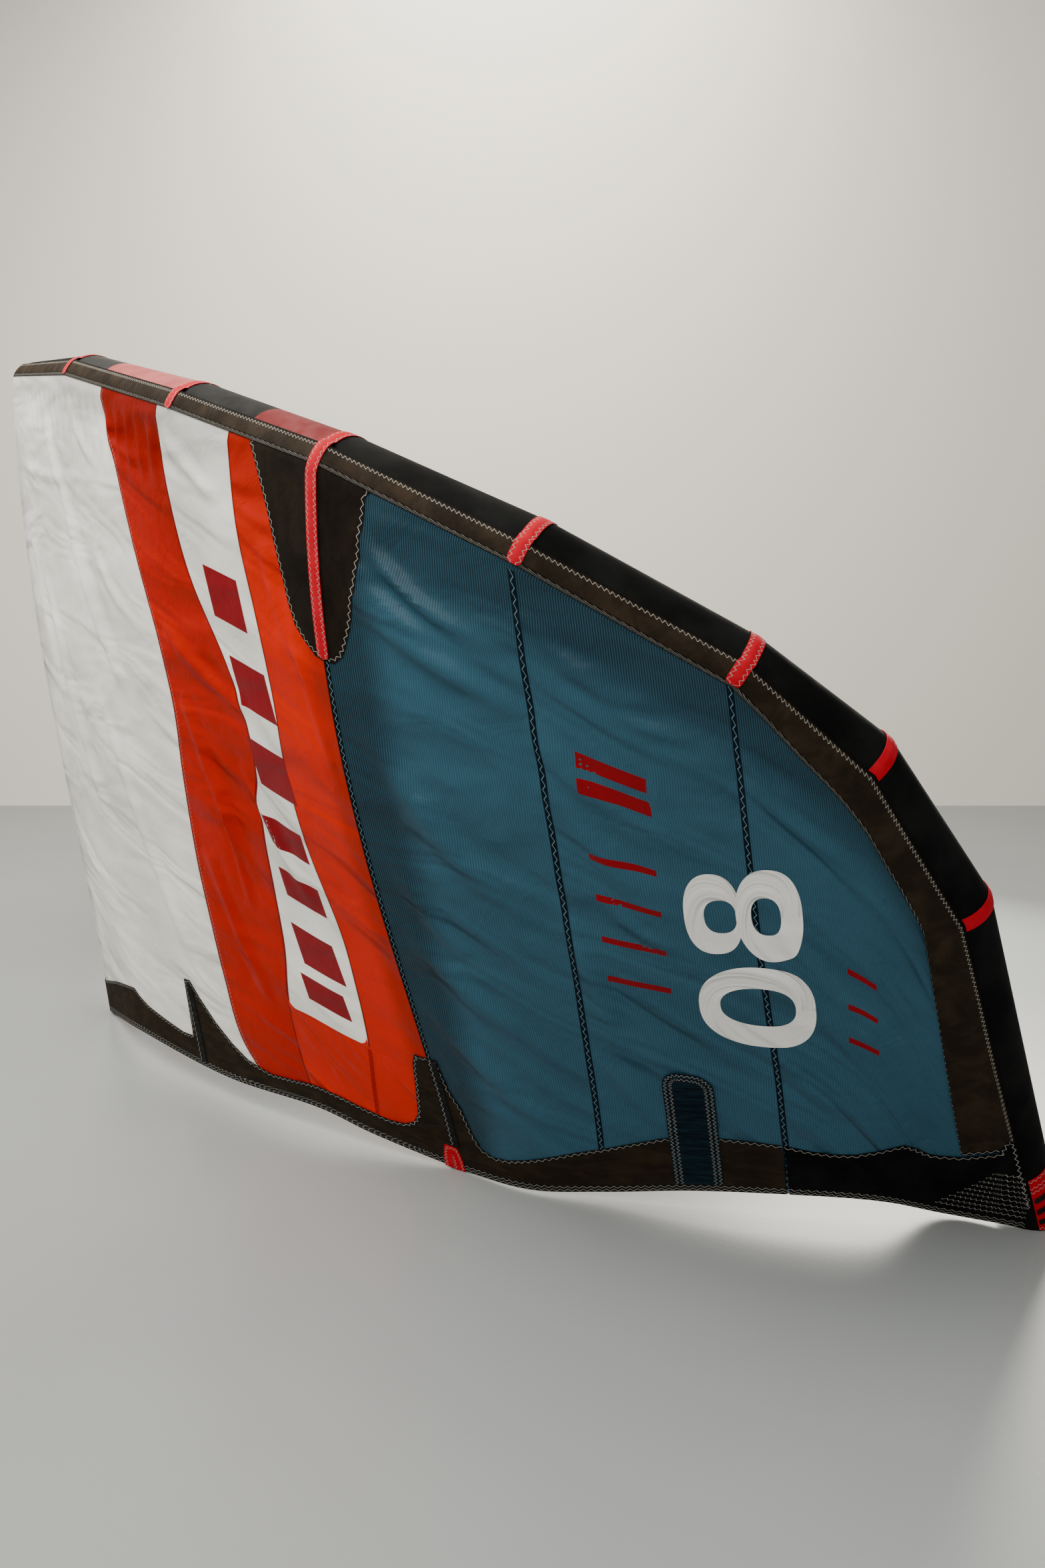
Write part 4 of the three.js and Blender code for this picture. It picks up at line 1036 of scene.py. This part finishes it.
def ring_point(ring, degrees, grow=0.0):
    """A point on a bend's ring. The last ring is slid along the tube on to the floor."""
    degrees = np.asarray(degrees, float)
    point = RINGS["centre"][ring] + round_tube(ring, degrees) * (RINGS["radius"][ring] + grow)
    if ring == TIP:
        point = point - RINGS["last"] * (point[..., 2:] / RINGS["last"][2])
    return point


def on_tube(bend, degrees, along, level):
    """Points some millimetres along the tube from a bend, and off its surface."""
    degrees, along = np.broadcast_arrays(np.asarray(degrees, float), np.asarray(along, float))
    start = ring_point(bend, degrees)
    before, after = (ring_point(int(np.clip(bend + way, 0, TIP)), degrees) for way in (-1, 1))
    end = np.where((along < 0)[..., None], before, after)
    share = np.abs(along) / np.maximum(np.linalg.norm(end - start, axis=-1), 1e-6)
    return blend(start, end, share) + round_tube(bend, degrees) * level


class KITE_OT_tube_tapes(bpy.types.Operator):
    """Wraps the crimson tapes round the tube's seams, and the long strap down the outer strut's patch."""

    bl_idname = "kite.tube_tapes"
    bl_label = "Tube seam tapes"

    def execute(self, context):
        looks = context.scene.kite_looks
        cloth = coated_cloth(
            "woven_tape", looks.tape, worn=linear("#b81c30"), wear=0.4, gloss=(0.55, 0.75), weave=0.0022,
            rows=[("top", 0, 0.004), ("end", 0, 0.004)],
        )
        plain = coated_cloth(
            "woven_tape_band", looks.tape, worn=linear("#b81c30"), wear=0.4, gloss=(0.55, 0.75), weave=0.0022
        )
        tapes = [{name: TAPES[name][row] for name in TAPES} for row in range(len(TAPES["at"]))]
        for tape in [*tapes, STRAP]:
            bend = int(tape["at"])
            low, high = tape_grids(bend, tape["tab"], tape["end"])
            name = "strut_strap" if bend == STRUT else f"seam_tape_{bend}"
            add_pair(
                f"{name}_woven", low, high, cloth if tape["tab"] else plain, [name],
            )
        return {"FINISHED"}


def band_grids(columns, heights, level, count):
    """A band above the trailing edge: its rows run from the given heights down to the edge."""
    shares = np.linspace(0, 1, count)[:, None]
    above = heights * (1 - shares)
    free = from_trailing_edge(columns, above)
    seam_to_edge = chord_length(columns) + wrap_length(columns)
    chord = np.where(above < chord_length(columns), free, below_seam(columns, seam_to_edge - above))
    return both_layers(columns + 0 * shares, chord, level)


def fine_stations(start, end, step, rows):
    return np.unique(
        np.concatenate([np.arange(start, end, step), rows[(rows >= start) & (rows <= end)], [end]])
    )


class KITE_OT_edge_bands(bpy.types.Operator):
    """Sews the worn band along the trailing edge, edged in black under zigzags, and the wing tip's patch."""

    bl_idname = "kite.edge_bands"
    bl_label = "Trailing-edge bands"

    def execute(self, context):
        looks = context.scene.kite_looks
        black = linear("#131312")
        cloth = coated_cloth(
            "coated_edge_band", looks.edge, worn=linear("#30271c"), wear=0.5, streak=(1, 1, 3), relief=1.3,
            seams=[("edge", 1, 0, 0.0085, black), ("end", 1, 0, 0.017, black)],
            rows=[("edge", 1, 0.0045, 1.6), ("end", 1, 0.005, 1.6), ("end", 1, 0.0125, 1.6)],
        )
        dark = coated_cloth(
            "coated_tip_patch", looks.tip, worn=linear("#121315"), wear=0.5, relief=1.2,
            seams=[("end", 1, 0, 0.017, linear("#0a0b0b"))],
            rows=[
                ("edge", 1, 0.005, 1.6), ("end", 1, 0.005, 1.6), ("end", 1, 0.0125, 1.6),
                *[("end", 1, height, 1.1, 0.17) for height in np.linspace(0.03, 0.14, 9)],
            ],
        )
        columns = fine_stations(0, 5, 0.009, EDGE_BAND["at"])
        heights = straight(EDGE_BAND, "height", columns)
        tip_columns = fine_stations(TIP_PATCH["at"][0], TIP_EDGE, 0.012, TIP_PATCH["at"])
        full = chord_length(tip_columns) + wrap_length(tip_columns) + STRIP_OVERLAP
        rise = np.clip((tip_columns - TIP_PATCH["at"][-1]) / (TIP_PATCH_FULL - TIP_PATCH["at"][-1]), 0, 1)
        tip_heights = straight(TIP_PATCH, "height", tip_columns)
        tip_heights = tip_heights + (full - tip_heights) * rise
        low, high = band_grids(columns, heights, SEWN, 16)
        add_pair(
            "edge_band", low, high, cloth, ["trailing_edge_band"],
            line=(low[0] + high[0]) / 2,
        )
        low, high = band_grids(tip_columns, tip_heights, SEWN, 22)
        add_pair(
            "wing_tip_patch", low, high, dark, ["tip_patch"],
            line=(low[0] + high[0]) / 2,
        )
        return {"FINISHED"}


class KITE_OT_pockets(bpy.types.Operator):
    """Sews the batten pockets: the broad outer one and the narrow inner one, and the strip over the strut."""

    bl_idname = "kite.pockets"
    bl_label = "Batten pockets"

    def execute(self, context):
        looks = context.scene.kite_looks
        cloth = coated_cloth(
            "webbing_pocket", looks.navy, worn=linear("#15303e"), wear=0.4, streak=(1, 1, 9), relief=3.0,
            rows=[("edge", 1, 0.005), ("edge", 1, 0.0145)],
        )
        strip = coated_cloth(
            "webbing_black", linear("#121314"), wear=0.3, streak=(1, 1, 6), relief=1.8,
            rows=[("top", 0, 0.006, 1.4)],
        )
        corner, top, half = POCKET["corner"], POCKET["top"], POCKET["half_width"]
        rounded = top - corner * (1 - np.sin(np.linspace(0, math.pi / 2, 12)))
        heights = np.concatenate([np.linspace(POCKET["foot"], top - corner, 40)[:-1], rounded])
        over = np.clip(heights - (top - corner), 0, corner) / corner
        widths = half - corner * (1 - np.sqrt(np.maximum(1 - over * over, 0)))
        runs = [("batten_pocket_webbing", POCKET["at"], heights, widths, cloth, "pocket", ["batten_pocket"])]
        narrow = (("inner_pocket", INNER_POCKET, "pocket"), ("strut_foot_strip", FOOT_STRIP, "strut_patch"))
        for name, size, slot in narrow:
            rows = np.linspace(size["foot"], size["top"], size["rows"])
            runs.append((name, size["at"], rows, size["half_width"] + 0 * rows, strip, slot, []))
        for name, at, rows, half_widths, material, slot, nodes in runs:
            chord = from_trailing_edge(at, rows)
            shares = np.linspace(-1, 1, 16)
            stations = np.stack([shifted(at, chord, share * half_widths) for share in shares], axis=1)
            low, high = both_layers(stations, chord[:, None] + 0 * stations, TOP)
            middle = (low + high) / 2
            line = np.concatenate([middle[:, 0], middle[-1], middle[::-1, -1]])
            add_pair(name, low, high, material, nodes, line=line)
        return {"FINISHED"}


def tube_rings_between(start, end, count, angles, trim=(JOINT_GAP, JOINT_GAP)):
    """Rings of one straight length of the tube, drawn in a little by puckers beside its seams."""
    first, last = ring_point(start, angles), ring_point(end, angles)
    length = np.linalg.norm(last - first, axis=-1)
    shares = smooth_step(np.linspace(0, 1, count), 0, 1) * 0.5 + np.linspace(0, 1, count) * 0.5
    rings = []
    for share in shares:
        place_on = np.clip(share, trim[0] / length, 1 - trim[1] / length)
        point = blend(first, last, place_on)
        ahead = np.minimum(place_on, 1 - place_on) * length
        pucker = 0.7 * np.exp(-ahead / 22) * (1 + np.sin(np.radians(angles) * 23 + start * 1.7)) / 2
        inward = -blend(round_tube(start, angles), round_tube(end, angles), place_on)
        rings.append(point + inward * pucker[:, None])
    return np.array(rings)


class KITE_OT_tubes(bpy.types.Operator):
    """Inflates the leading-edge tube, length by length between its mitred seams."""

    bl_idname = "kite.tubes"
    bl_label = "Leading-edge tube"

    def execute(self, context):
        looks = context.scene.kite_looks
        black = tube_cloth("sailcloth_black", looks.tube)
        glossy = tube_cloth("sailcloth_glossy_print", looks.tube, linear("#8f3a3a"), 0.2, 0.62, gloss=0.42)
        deep = tube_cloth("sailcloth_deep_print", looks.tube, linear("#5f0e12"), 0.24, 0.52)
        angles = np.arange(0, 360, 5.0)
        half = tube_rings_between(0, 1, 46, angles, trim=(0, JOINT_GAP))
        centre = np.concatenate([mirrored(half[:0:-1]), half])
        add_padded("leading_edge_tube_centre", centre, black, ["tube_centre"])
        prints = {1: glossy, 2: deep}
        for bend in range(1, TIP):
            trim = (JOINT_GAP, 0 if bend + 1 == TIP else JOINT_GAP)
            rings = tube_rings_between(bend, bend + 1, 40, angles, trim=trim)
            for side, shown in (("right", rings), ("left", mirrored(rings))):
                add_padded(
                    f"leading_edge_tube_{bend}_{side}", shown, prints.get(bend, black),
                    [f"tube_{bend}_{side}"],
                )
        return {"FINISHED"}


def strut_circle(at, chord, angles, grow=0.0):
    """A ring round the strut, under the canopy's cloth."""
    reach = 0.02
    chord = np.asarray(chord, float)
    radius = STRUT_ROOT_RADIUS + (STRUT_FOOT_RADIUS - STRUT_ROOT_RADIUS) * chord
    out = canopy_normal(at, chord)
    down = unit(canopy_point(at, chord + reach) - canopy_point(at, chord - reach))
    across = unit(np.cross(down, out))
    centre = on_cloth(at, chord, -(radius + STRUT_GAP))
    turn = np.radians(angles)[:, None]
    return centre + (out * np.cos(turn) + across * np.sin(turn)) * (radius + grow)


def off_tube(points):
    """How far points lie off the tube's surface, the nearest bend counted by the tube's own middle line."""
    gap, _ = off_line(points, RINGS["centre"])
    return gap - straight(STATIONS, "radius", STRUT)


class KITE_OT_struts(bpy.types.Operator):
    """Inflates the three struts, each with its root shaped to the tube."""

    bl_idname = "kite.struts"
    bl_label = "Struts"

    def execute(self, context):
        cloth = tube_cloth("sailcloth_strut", context.scene.kite_looks.tube)
        angles = np.arange(0, 360, 7.5)
        for name, at, nodes in (
            ("centre", 0, ["strut_centre"]), ("outer", STRUT, ["strut_right", "strut_left"]),
        ):
            last = float(from_trailing_edge(at, CAP_LENGTH))
            chords = np.linspace(0.004, last, 150)
            lines = np.array([strut_circle(at, chord, angles) for chord in chords])
            clear = off_tube(lines) > ROOT_GAPS[name]
            start = np.array([chords[np.argmax(clear[:, line])] for line in range(len(angles))])
            rings = []
            for share in np.linspace(0, 1, 70):
                places = start + (last - start) * share
                rings.append([
                    [np.interp(places[line], chords, lines[:, line, axis]) for axis in range(3)]
                    for line in range(len(angles))
                ])
            rings = np.array(rings)
            for node_name in nodes:
                shown = mirrored(rings) if node_name.endswith("left") else rings
                add_padded(f"inflated_{node_name}", shown, cloth, [node_name])
        return {"FINISHED"}


class KITE_OT_caps(bpy.types.Operator):
    """Puts the crimson cap on each strut's end, and on the outer struts a flap over the trailing edge."""

    bl_idname = "kite.caps"
    bl_label = "Strut caps"

    def execute(self, context):
        looks = context.scene.kite_looks
        body_cloth = coated_cloth("cap_cloth", looks.tape, worn=linear("#b81c30"), wear=0.4, weave=0.0022)
        flap_cloth = coated_cloth(
            "cap_flap", looks.tape, worn=linear("#b81c30"), wear=0.4, weave=0.0022,
            rows=[("edge", 1, 0.005), ("edge", 1, 0.0215)],
        )
        angles = np.arange(0, 360, 7.5)
        for name, at in (("centre", 0), ("right", STRUT), ("left", STRUT)):
            start = float(from_trailing_edge(at, CAP_LENGTH - 0.5))
            near = strut_circle(at, 0.985, angles)
            slide = unit(canopy_point(at, 0.985) - canopy_point(at, 0.94))
            foot = near - slide * (near[:, 2:] / slide[2])
            top = strut_circle(at, start, angles)
            pleat = np.sin(np.radians(angles) * CAP_PLEATS["count"])[:, None] * CAP_PLEATS["depth"]
            middle = top.mean(0)
            rings = [top]
            for share in np.linspace(0.06, 1, 16):
                ring = top + (foot - top) * share
                centre = middle + (foot.mean(0) - middle) * share
                pull = unit(ring - centre) * pleat * math.sin(math.pi * min(share * 1.2, 1))
                rings.append(ring + np.where(share < 1, pull, 0))
            rings = np.array(rings)
            rings[..., 2] = np.maximum(rings[..., 2], 0)
            rings = mirrored(rings) if name == "left" else rings
            add_padded(f"cap_{name}", rings, body_cloth, [f"strut_cap_{name}"], crease=30)
            if name == "centre":
                continue
            chord = from_trailing_edge(at, FLAP["height"])
            shares = np.linspace(-1, 1, 9) * FLAP_HALF_WIDTH
            flap_at = np.stack([shifted(at, chord, share * FLAP["share"]) for share in shares], axis=1)
            low, high = both_layers(flap_at, chord[:, None] + 0 * flap_at, TOP)
            for grid in (low, high):
                grid[..., 2] = np.maximum(grid[..., 2], 0.3)
            if name == "left":
                low, high = mirrored(low), mirrored(high)
            middle_grid = (low + high) / 2
            add_sheet(
                f"cap_flap_{name}", low, high, flap_cloth,
                line=np.concatenate([middle_grid[::-1, 0], middle_grid[0], middle_grid[:, -1]]),
            )
        return {"FINISHED"}


def cover_grid(angles, along, level):
    """A sheet round the tube near the wing tip: rows by angle, columns along it."""
    grid = [on_tube(TIP - 1, angle, run, level) for angle, run in zip(angles, along)]
    return np.array(grid)


class KITE_OT_tip_covers(bpy.types.Operator):
    """Sews the crimson cover round each wing tip, with its webbing loop and keeper."""

    bl_idname = "kite.tip_covers"
    bl_label = "Wing-tip covers"

    def execute(self, context):
        looks = context.scene.kite_looks
        crimson = coated_cloth(
            "cover_cloth", looks.tape, worn=linear("#b81c30"), wear=0.4, weave=0.0022,
            rows=[("top", 0, 0.005), ("end", 0, 0.005)],
        )
        webbing = coated_cloth("webbing_loop", linear("#131415"), wear=0.3, relief=2.0, weave=0.0026)
        start, width = TIP_COVER["band_start"], TIP_COVER["band_width"]
        band_angles = np.arange(TIP_COVER["start"], TIP_COVER["band_end"], 5.0)
        cover_angles = np.arange(TIP_COVER["start"], TIP_COVER["cover_end"] + 1, 5.0)
        reach = np.linalg.norm(ring_point(TIP, cover_angles) - ring_point(TIP - 1, cover_angles), axis=-1) - 4
        band_runs = [np.linspace(start, start + width, 5)] * len(band_angles)
        cover_runs = [np.linspace(start + width + 1, end, 16) for end in reach]
        radius = (LOOP["low"] - LOOP["high"]) / 2
        middle = (LOOP["low"] + LOOP["high"]) / 2
        per_degree = math.radians(1) * STATIONS["radius"][TIP]
        turn = LOOP["reach"] - radius / per_degree
        bends = np.linspace(0, math.pi, 15)
        legs = np.linspace(LOOP["start"], turn, 8)[:-1]
        path = [(angle, LOOP["high"], -1.0, 0.0) for angle in legs]
        for bend in bends:
            side, lean = -math.cos(bend), math.sin(bend)
            path.append((turn + lean * radius / per_degree, middle + side * radius, side, lean))
        path += [(angle, LOOP["low"], 1.0, 0.0) for angle in legs[::-1]]
        offsets = np.linspace(-0.53, 0.53, 5) * LOOP["width"]

        def loop_grid(level):
            return np.array([
                on_tube(TIP - 1, angle + lean * offsets / per_degree, along + side * offsets, level)
                for angle, along, side, lean in path
            ])

        def keeper_grid(level):
            leans = np.linspace(0, KEEPER["lean"], 10)
            runs = [np.linspace(KEEPER["near"] + lean, KEEPER["far"] + lean, 4) for lean in leans]
            return cover_grid(np.linspace(KEEPER["start"], KEEPER["end"], 10), runs, level)

        band_layers = [cover_grid(band_angles, band_runs, level) for level in ON_TUBE]
        sleeve_layers = [cover_grid(cover_angles, cover_runs, level) for level in ON_TUBE]
        pieces = (
            ("tip_band", *band_layers, crimson, ["tip_cover"]),
            ("tip_sleeve", *sleeve_layers, crimson, []),
            ("tip_loop", loop_grid(1.9), loop_grid(4.2), webbing, []),
            ("tip_keeper", keeper_grid(1.9), keeper_grid(3.4), webbing, []),
        )
        for name, low, high, material, nodes in pieces:
            add_pair(name, low, high, material, nodes)
        return {"FINISHED"}


def station_length(at, chord):
    reach = 0.02
    gap = canopy_point(at + reach, chord) - canopy_point(at - reach, chord)
    return np.linalg.norm(gap, axis=-1) / (2 * reach)


def add_print(name, at, chord, material, slot, level=PRINT):
    """A thin printed shape on both halves, from grids of stations and shares of the chord."""
    low, high = both_layers(at, chord, level)
    add_pair(name, low, high, material)


def numeral_places(outer, hole, slope):
    """A numeral's closed stroke, between its outline and its hole, squarer than ovals."""
    angle = np.radians(np.linspace(0, 360, 97))[:, None]
    share = np.linspace(0, 1, 6)
    across = np.sign(np.cos(angle)) * np.abs(np.cos(angle)) ** SQUARENESS
    down = np.sign(np.sin(angle)) * np.abs(np.sin(angle)) ** SQUARENESS
    rings = [
        (at + across * half_at, chord + down * half_chord + slope * across * half_at)
        for at, chord, half_at, half_chord in (outer, hole)
    ]
    return tuple(first + (second - first) * share for first, second in zip(*rings))


def bar_places(at, chord, width, height, skew=0.0):
    """A four-sided bar, its sides leaning by skew. Width and height are millimetres."""
    across, down = np.meshgrid(np.linspace(-0.5, 0.5, 14) * width, np.linspace(-0.5, 0.5, 14) * height)
    return at + (across + skew * down) / station_length(at, chord), chord + down / chord_length(at)


def corner_places(at, chord, radius, way):
    """What a rounded corner leaves of a square one. The corner lies at the place that is given."""
    turn = np.linspace(0, math.pi / 2, 12)[:, None]
    share = np.linspace(0, 0.97, 6)
    across = radius * (1 - np.cos(turn)) * (1 - share)
    down = radius * (np.sin(turn) - 1) * (1 - share)
    return at + way * across / station_length(at, chord), chord + down / chord_length(at)


class KITE_OT_prints(bpy.types.Operator):
    """Prints the size number and plain bars on the cloth."""

    bl_idname = "kite.prints"
    bl_label = "Prints"

    def execute(self, context):
        looks = context.scene.kite_looks
        white = ripstop_cloth("ink_white", looks.white, through=0.1, crumple=0.5)
        crimson = ripstop_cloth("ink_crimson", looks.print, through=0.1, crumple=0.5)
        orange = ripstop_cloth("ink_orange", looks.orange, through=0.1, crumple=0.5)
        for name, level, slope, outer, hole in NUMERALS:
            add_print(f"numeral_{name}", *numeral_places(outer, hole, slope), white, "white_cloth", level)
        for side, way, edge in (("inner", 1, "red"), ("outer", -1, "band")):
            corner = float(shifted(float(seam_at(edge, BAND_END)), BAND_END, way * 0.5))
            places = corner_places(corner, BAND_END, 30, way)
            add_print(f"band_corner_{side}", *places, orange, "orange_cloth")
        for count, (chord, height) in enumerate(BAND_BARS):
            at = float(seam_at("red", chord) * 0.47 + seam_at("band", chord) * 0.53)
            places = bar_places(at, chord, BAR_WIDTH, height, skew=0.12)
            add_print(f"band_bar_{count + 1}", *places, crimson, "red_cloth")
        for count, mark in enumerate(PLAIN_MARKS):
            add_print(f"plain_mark_{count + 1}", *bar_places(*mark), crimson, "red_cloth")
        return {"FINISHED"}


# The size number: level, slope across the span, then middle, half width and half height of each outline
# and of its hole, as stations and shares of the chord.
NUMERALS = (
    ("eight_small", (1.4, 1.54), -0.11, (4.77, 0.403, 0.145, 0.0725), (4.803, 0.403, 0.083, 0.03)),
    ("eight_large", (1.6, 1.74), -0.103, (5.12, 0.369, 0.238, 0.088), (5.077, 0.373, 0.105, 0.0355)),
    ("zero", (1.4, 1.54), -0.064, (5.03, 0.562, 0.382, 0.084), (4.99, 0.563, 0.2415, 0.039)),
)
SQUARENESS = 0.84
BAR_WIDTH = 124

# The bars that stand on the white band: share of the chord and how far each reaches along it.
BAND_BARS = ((0.2, 92), (0.31, 92), (0.42, 92), (0.52, 60), (0.6, 60), (0.7, 92), (0.775, 60))
# The plain marks on the blue panels: station, share of the chord, width and height.
PLAIN_MARKS = (
    (4.36, 0.22, 120, 26), (4.36, 0.255, 120, 26), (4.36, 0.36, 110, 12), (4.36, 0.43, 110, 12),
    (4.36, 0.5, 110, 12), (4.36, 0.57, 110, 12), (5.9, 0.42, 60, 12), (5.9, 0.5, 60, 12), (5.9, 0.58, 60, 12),
)


class KITE_OT_stage(bpy.types.Operator):
    """Sets the camera at the photograph's viewing angle, a pale floor and wall, and soft light."""

    bl_idname = "kite.stage"
    bl_label = "Stage"

    def execute(self, context):
        scene = context.scene
        camera = bpy.data.objects.new("camera", bpy.data.cameras.new("camera"))
        scene.collection.objects.link(camera)
        camera.data.lens = CAMERA["lens"]
        camera.data.sensor_width = CAMERA["sensor"]
        camera.data.clip_end = CAMERA["sees_to"]
        camera.location = CAMERA["place"]
        heading = Vector((*CAMERA["heading"], 0)).normalized() * math.cos(CAMERA["dip"])
        heading.z = -math.sin(CAMERA["dip"])
        camera.rotation_euler = heading.to_track_quat("-Z", "Y").to_euler()
        scene.camera = camera

        material, tree = surface("painted_floor")
        place = node(tree, "TexCoord", out="Object")
        tint = {
            0: blots(tree, place, 1.2, 0.3, 0.7), 6: colour(linear("#8b9092")), 7: colour(linear("#85898c")),
        }
        tint = node(tree, "Mix", tint, **COLOURS)
        height = crumpled(tree, 0.0, [(place, 0.01, 2, 0.55, 0, 0.0002)])
        finish_surface(tree, tint, height, 0.36)
        bpy.ops.mesh.primitive_plane_add(size=STAGE_SIZE, location=(0, 0, 0))
        floor = context.active_object
        floor.name = "floor"
        floor.data.materials.append(material)

        wall_material, tree = surface("painted_wall")
        place = node(tree, "TexCoord", out="Object")
        height = crumpled(tree, 0.0, [(place, 0.02, 3, 0.55, 0, 0.0003)])
        # From behind the wall is clear, so it never stands between the kite and a view of its back.
        behind = node(tree, "NewGeometry", out="Backfacing")
        facing = node(tree, "Math", {0: 1.0, 1: behind}, operation="SUBTRACT")
        finish_surface(tree, colour(linear("#dddad2")), height, 0.85, alpha=facing)
        bpy.ops.mesh.primitive_plane_add(size=STAGE_SIZE, location=(0, 0, 0))
        wall = context.active_object
        wall.name = "wall"
        wall.rotation_euler = (math.pi / 2, 0, math.atan2(heading.y, heading.x) - math.pi / 2)
        wall.location = Vector(CAMERA["place"]) + heading * WALL_DISTANCE
        wall.data.materials.append(wall_material)

        scene.world = bpy.data.worlds.new("room")
        scene.world.use_nodes = True
        sky = scene.world.node_tree.nodes["Background"]
        sky.inputs[0].default_value = colour(linear(ROOM_LIGHT["colour"]))
        sky.inputs[1].default_value = ROOM_LIGHT["strength"]
        for name, location, aim, size, power in LIGHTS:
            light = bpy.data.lights.new(name, "AREA")
            light.size, light.energy, light.color = size, power, linear(LAMP_COLOUR)
            lamp = bpy.data.objects.new(name, light)
            lamp.location = location
            lamp.rotation_euler = (Vector(aim) - Vector(location)).to_track_quat("-Z", "Y").to_euler()
            scene.collection.objects.link(lamp)
        return {"FINISHED"}


# The photograph's camera: its place, the way it looks across the floor, how far it dips and its lens.
CAMERA = {
    "place": (3.507, -0.8332, 1.098), "heading": (-0.929, 0.370), "dip": 0.1302, "lens": 27.05, "sensor": 36,
    "sees_to": 60,
}
STAGE_SIZE = 24
WALL_DISTANCE = 7.4
ROOM_LIGHT = {"colour": "#dfe0dd", "strength": 0.6}
LAMP_COLOUR = "#fff8ec"

# Soft lamps: name, place, what it is aimed at, its size and its power.
LIGHTS = (
    ("ceiling", (0.6, -2.2, 4.4), (0.6, -0.2, 0.7), 3.2, 420),
    ("front", (4.8, -2.6, 3.4), (0.9, -0.2, 0.8), 2.2, 190),
    ("behind", (-0.2, 2.3, 1.5), (0.9, -0.2, 0.6), 1.6, 110),
    ("wall", (-1.9, 1.2, 5.0), (-3.2, 1.9, 1.6), 3.0, 210),
)


class KITE_PT_panel(bpy.types.Panel):
    """Lists the kite's steps and colours."""

    bl_label = "Kite"
    bl_space_type = "VIEW_3D"
    bl_region_type = "UI"
    bl_category = "Kite"

    def draw(self, context):
        for step in STEPS:
            self.layout.operator(step.bl_idname)
        for name in KiteLooks.__annotations__:
            self.layout.prop(context.scene.kite_looks, name)


STEPS = (
    KITE_OT_stage,
    KITE_OT_canopy,
    KITE_OT_panel_seams,
    KITE_OT_edge_strip,
    KITE_OT_strut_patches,
    KITE_OT_tube_tapes,
    KITE_OT_edge_bands,
    KITE_OT_pockets,
    KITE_OT_tubes,
    KITE_OT_struts,
    KITE_OT_caps,
    KITE_OT_tip_covers,
    KITE_OT_prints,
)


def register():
    for kind in (KiteLooks, *STEPS, KITE_PT_panel):
        bpy.utils.register_class(kind)
    bpy.types.Scene.kite_looks = bpy.props.PointerProperty(type=KiteLooks)


def unregister():
    del bpy.types.Scene.kite_looks
    for kind in (KITE_PT_panel, *reversed(STEPS), KiteLooks):
        bpy.utils.unregister_class(kind)


def main():
    register()
    bpy.ops.object.select_all(action="DESELECT")
    for step in STEPS:
        group, name = step.bl_idname.split(".")
        getattr(getattr(bpy.ops, group), name)()


if __name__ == "__main__":
    main()
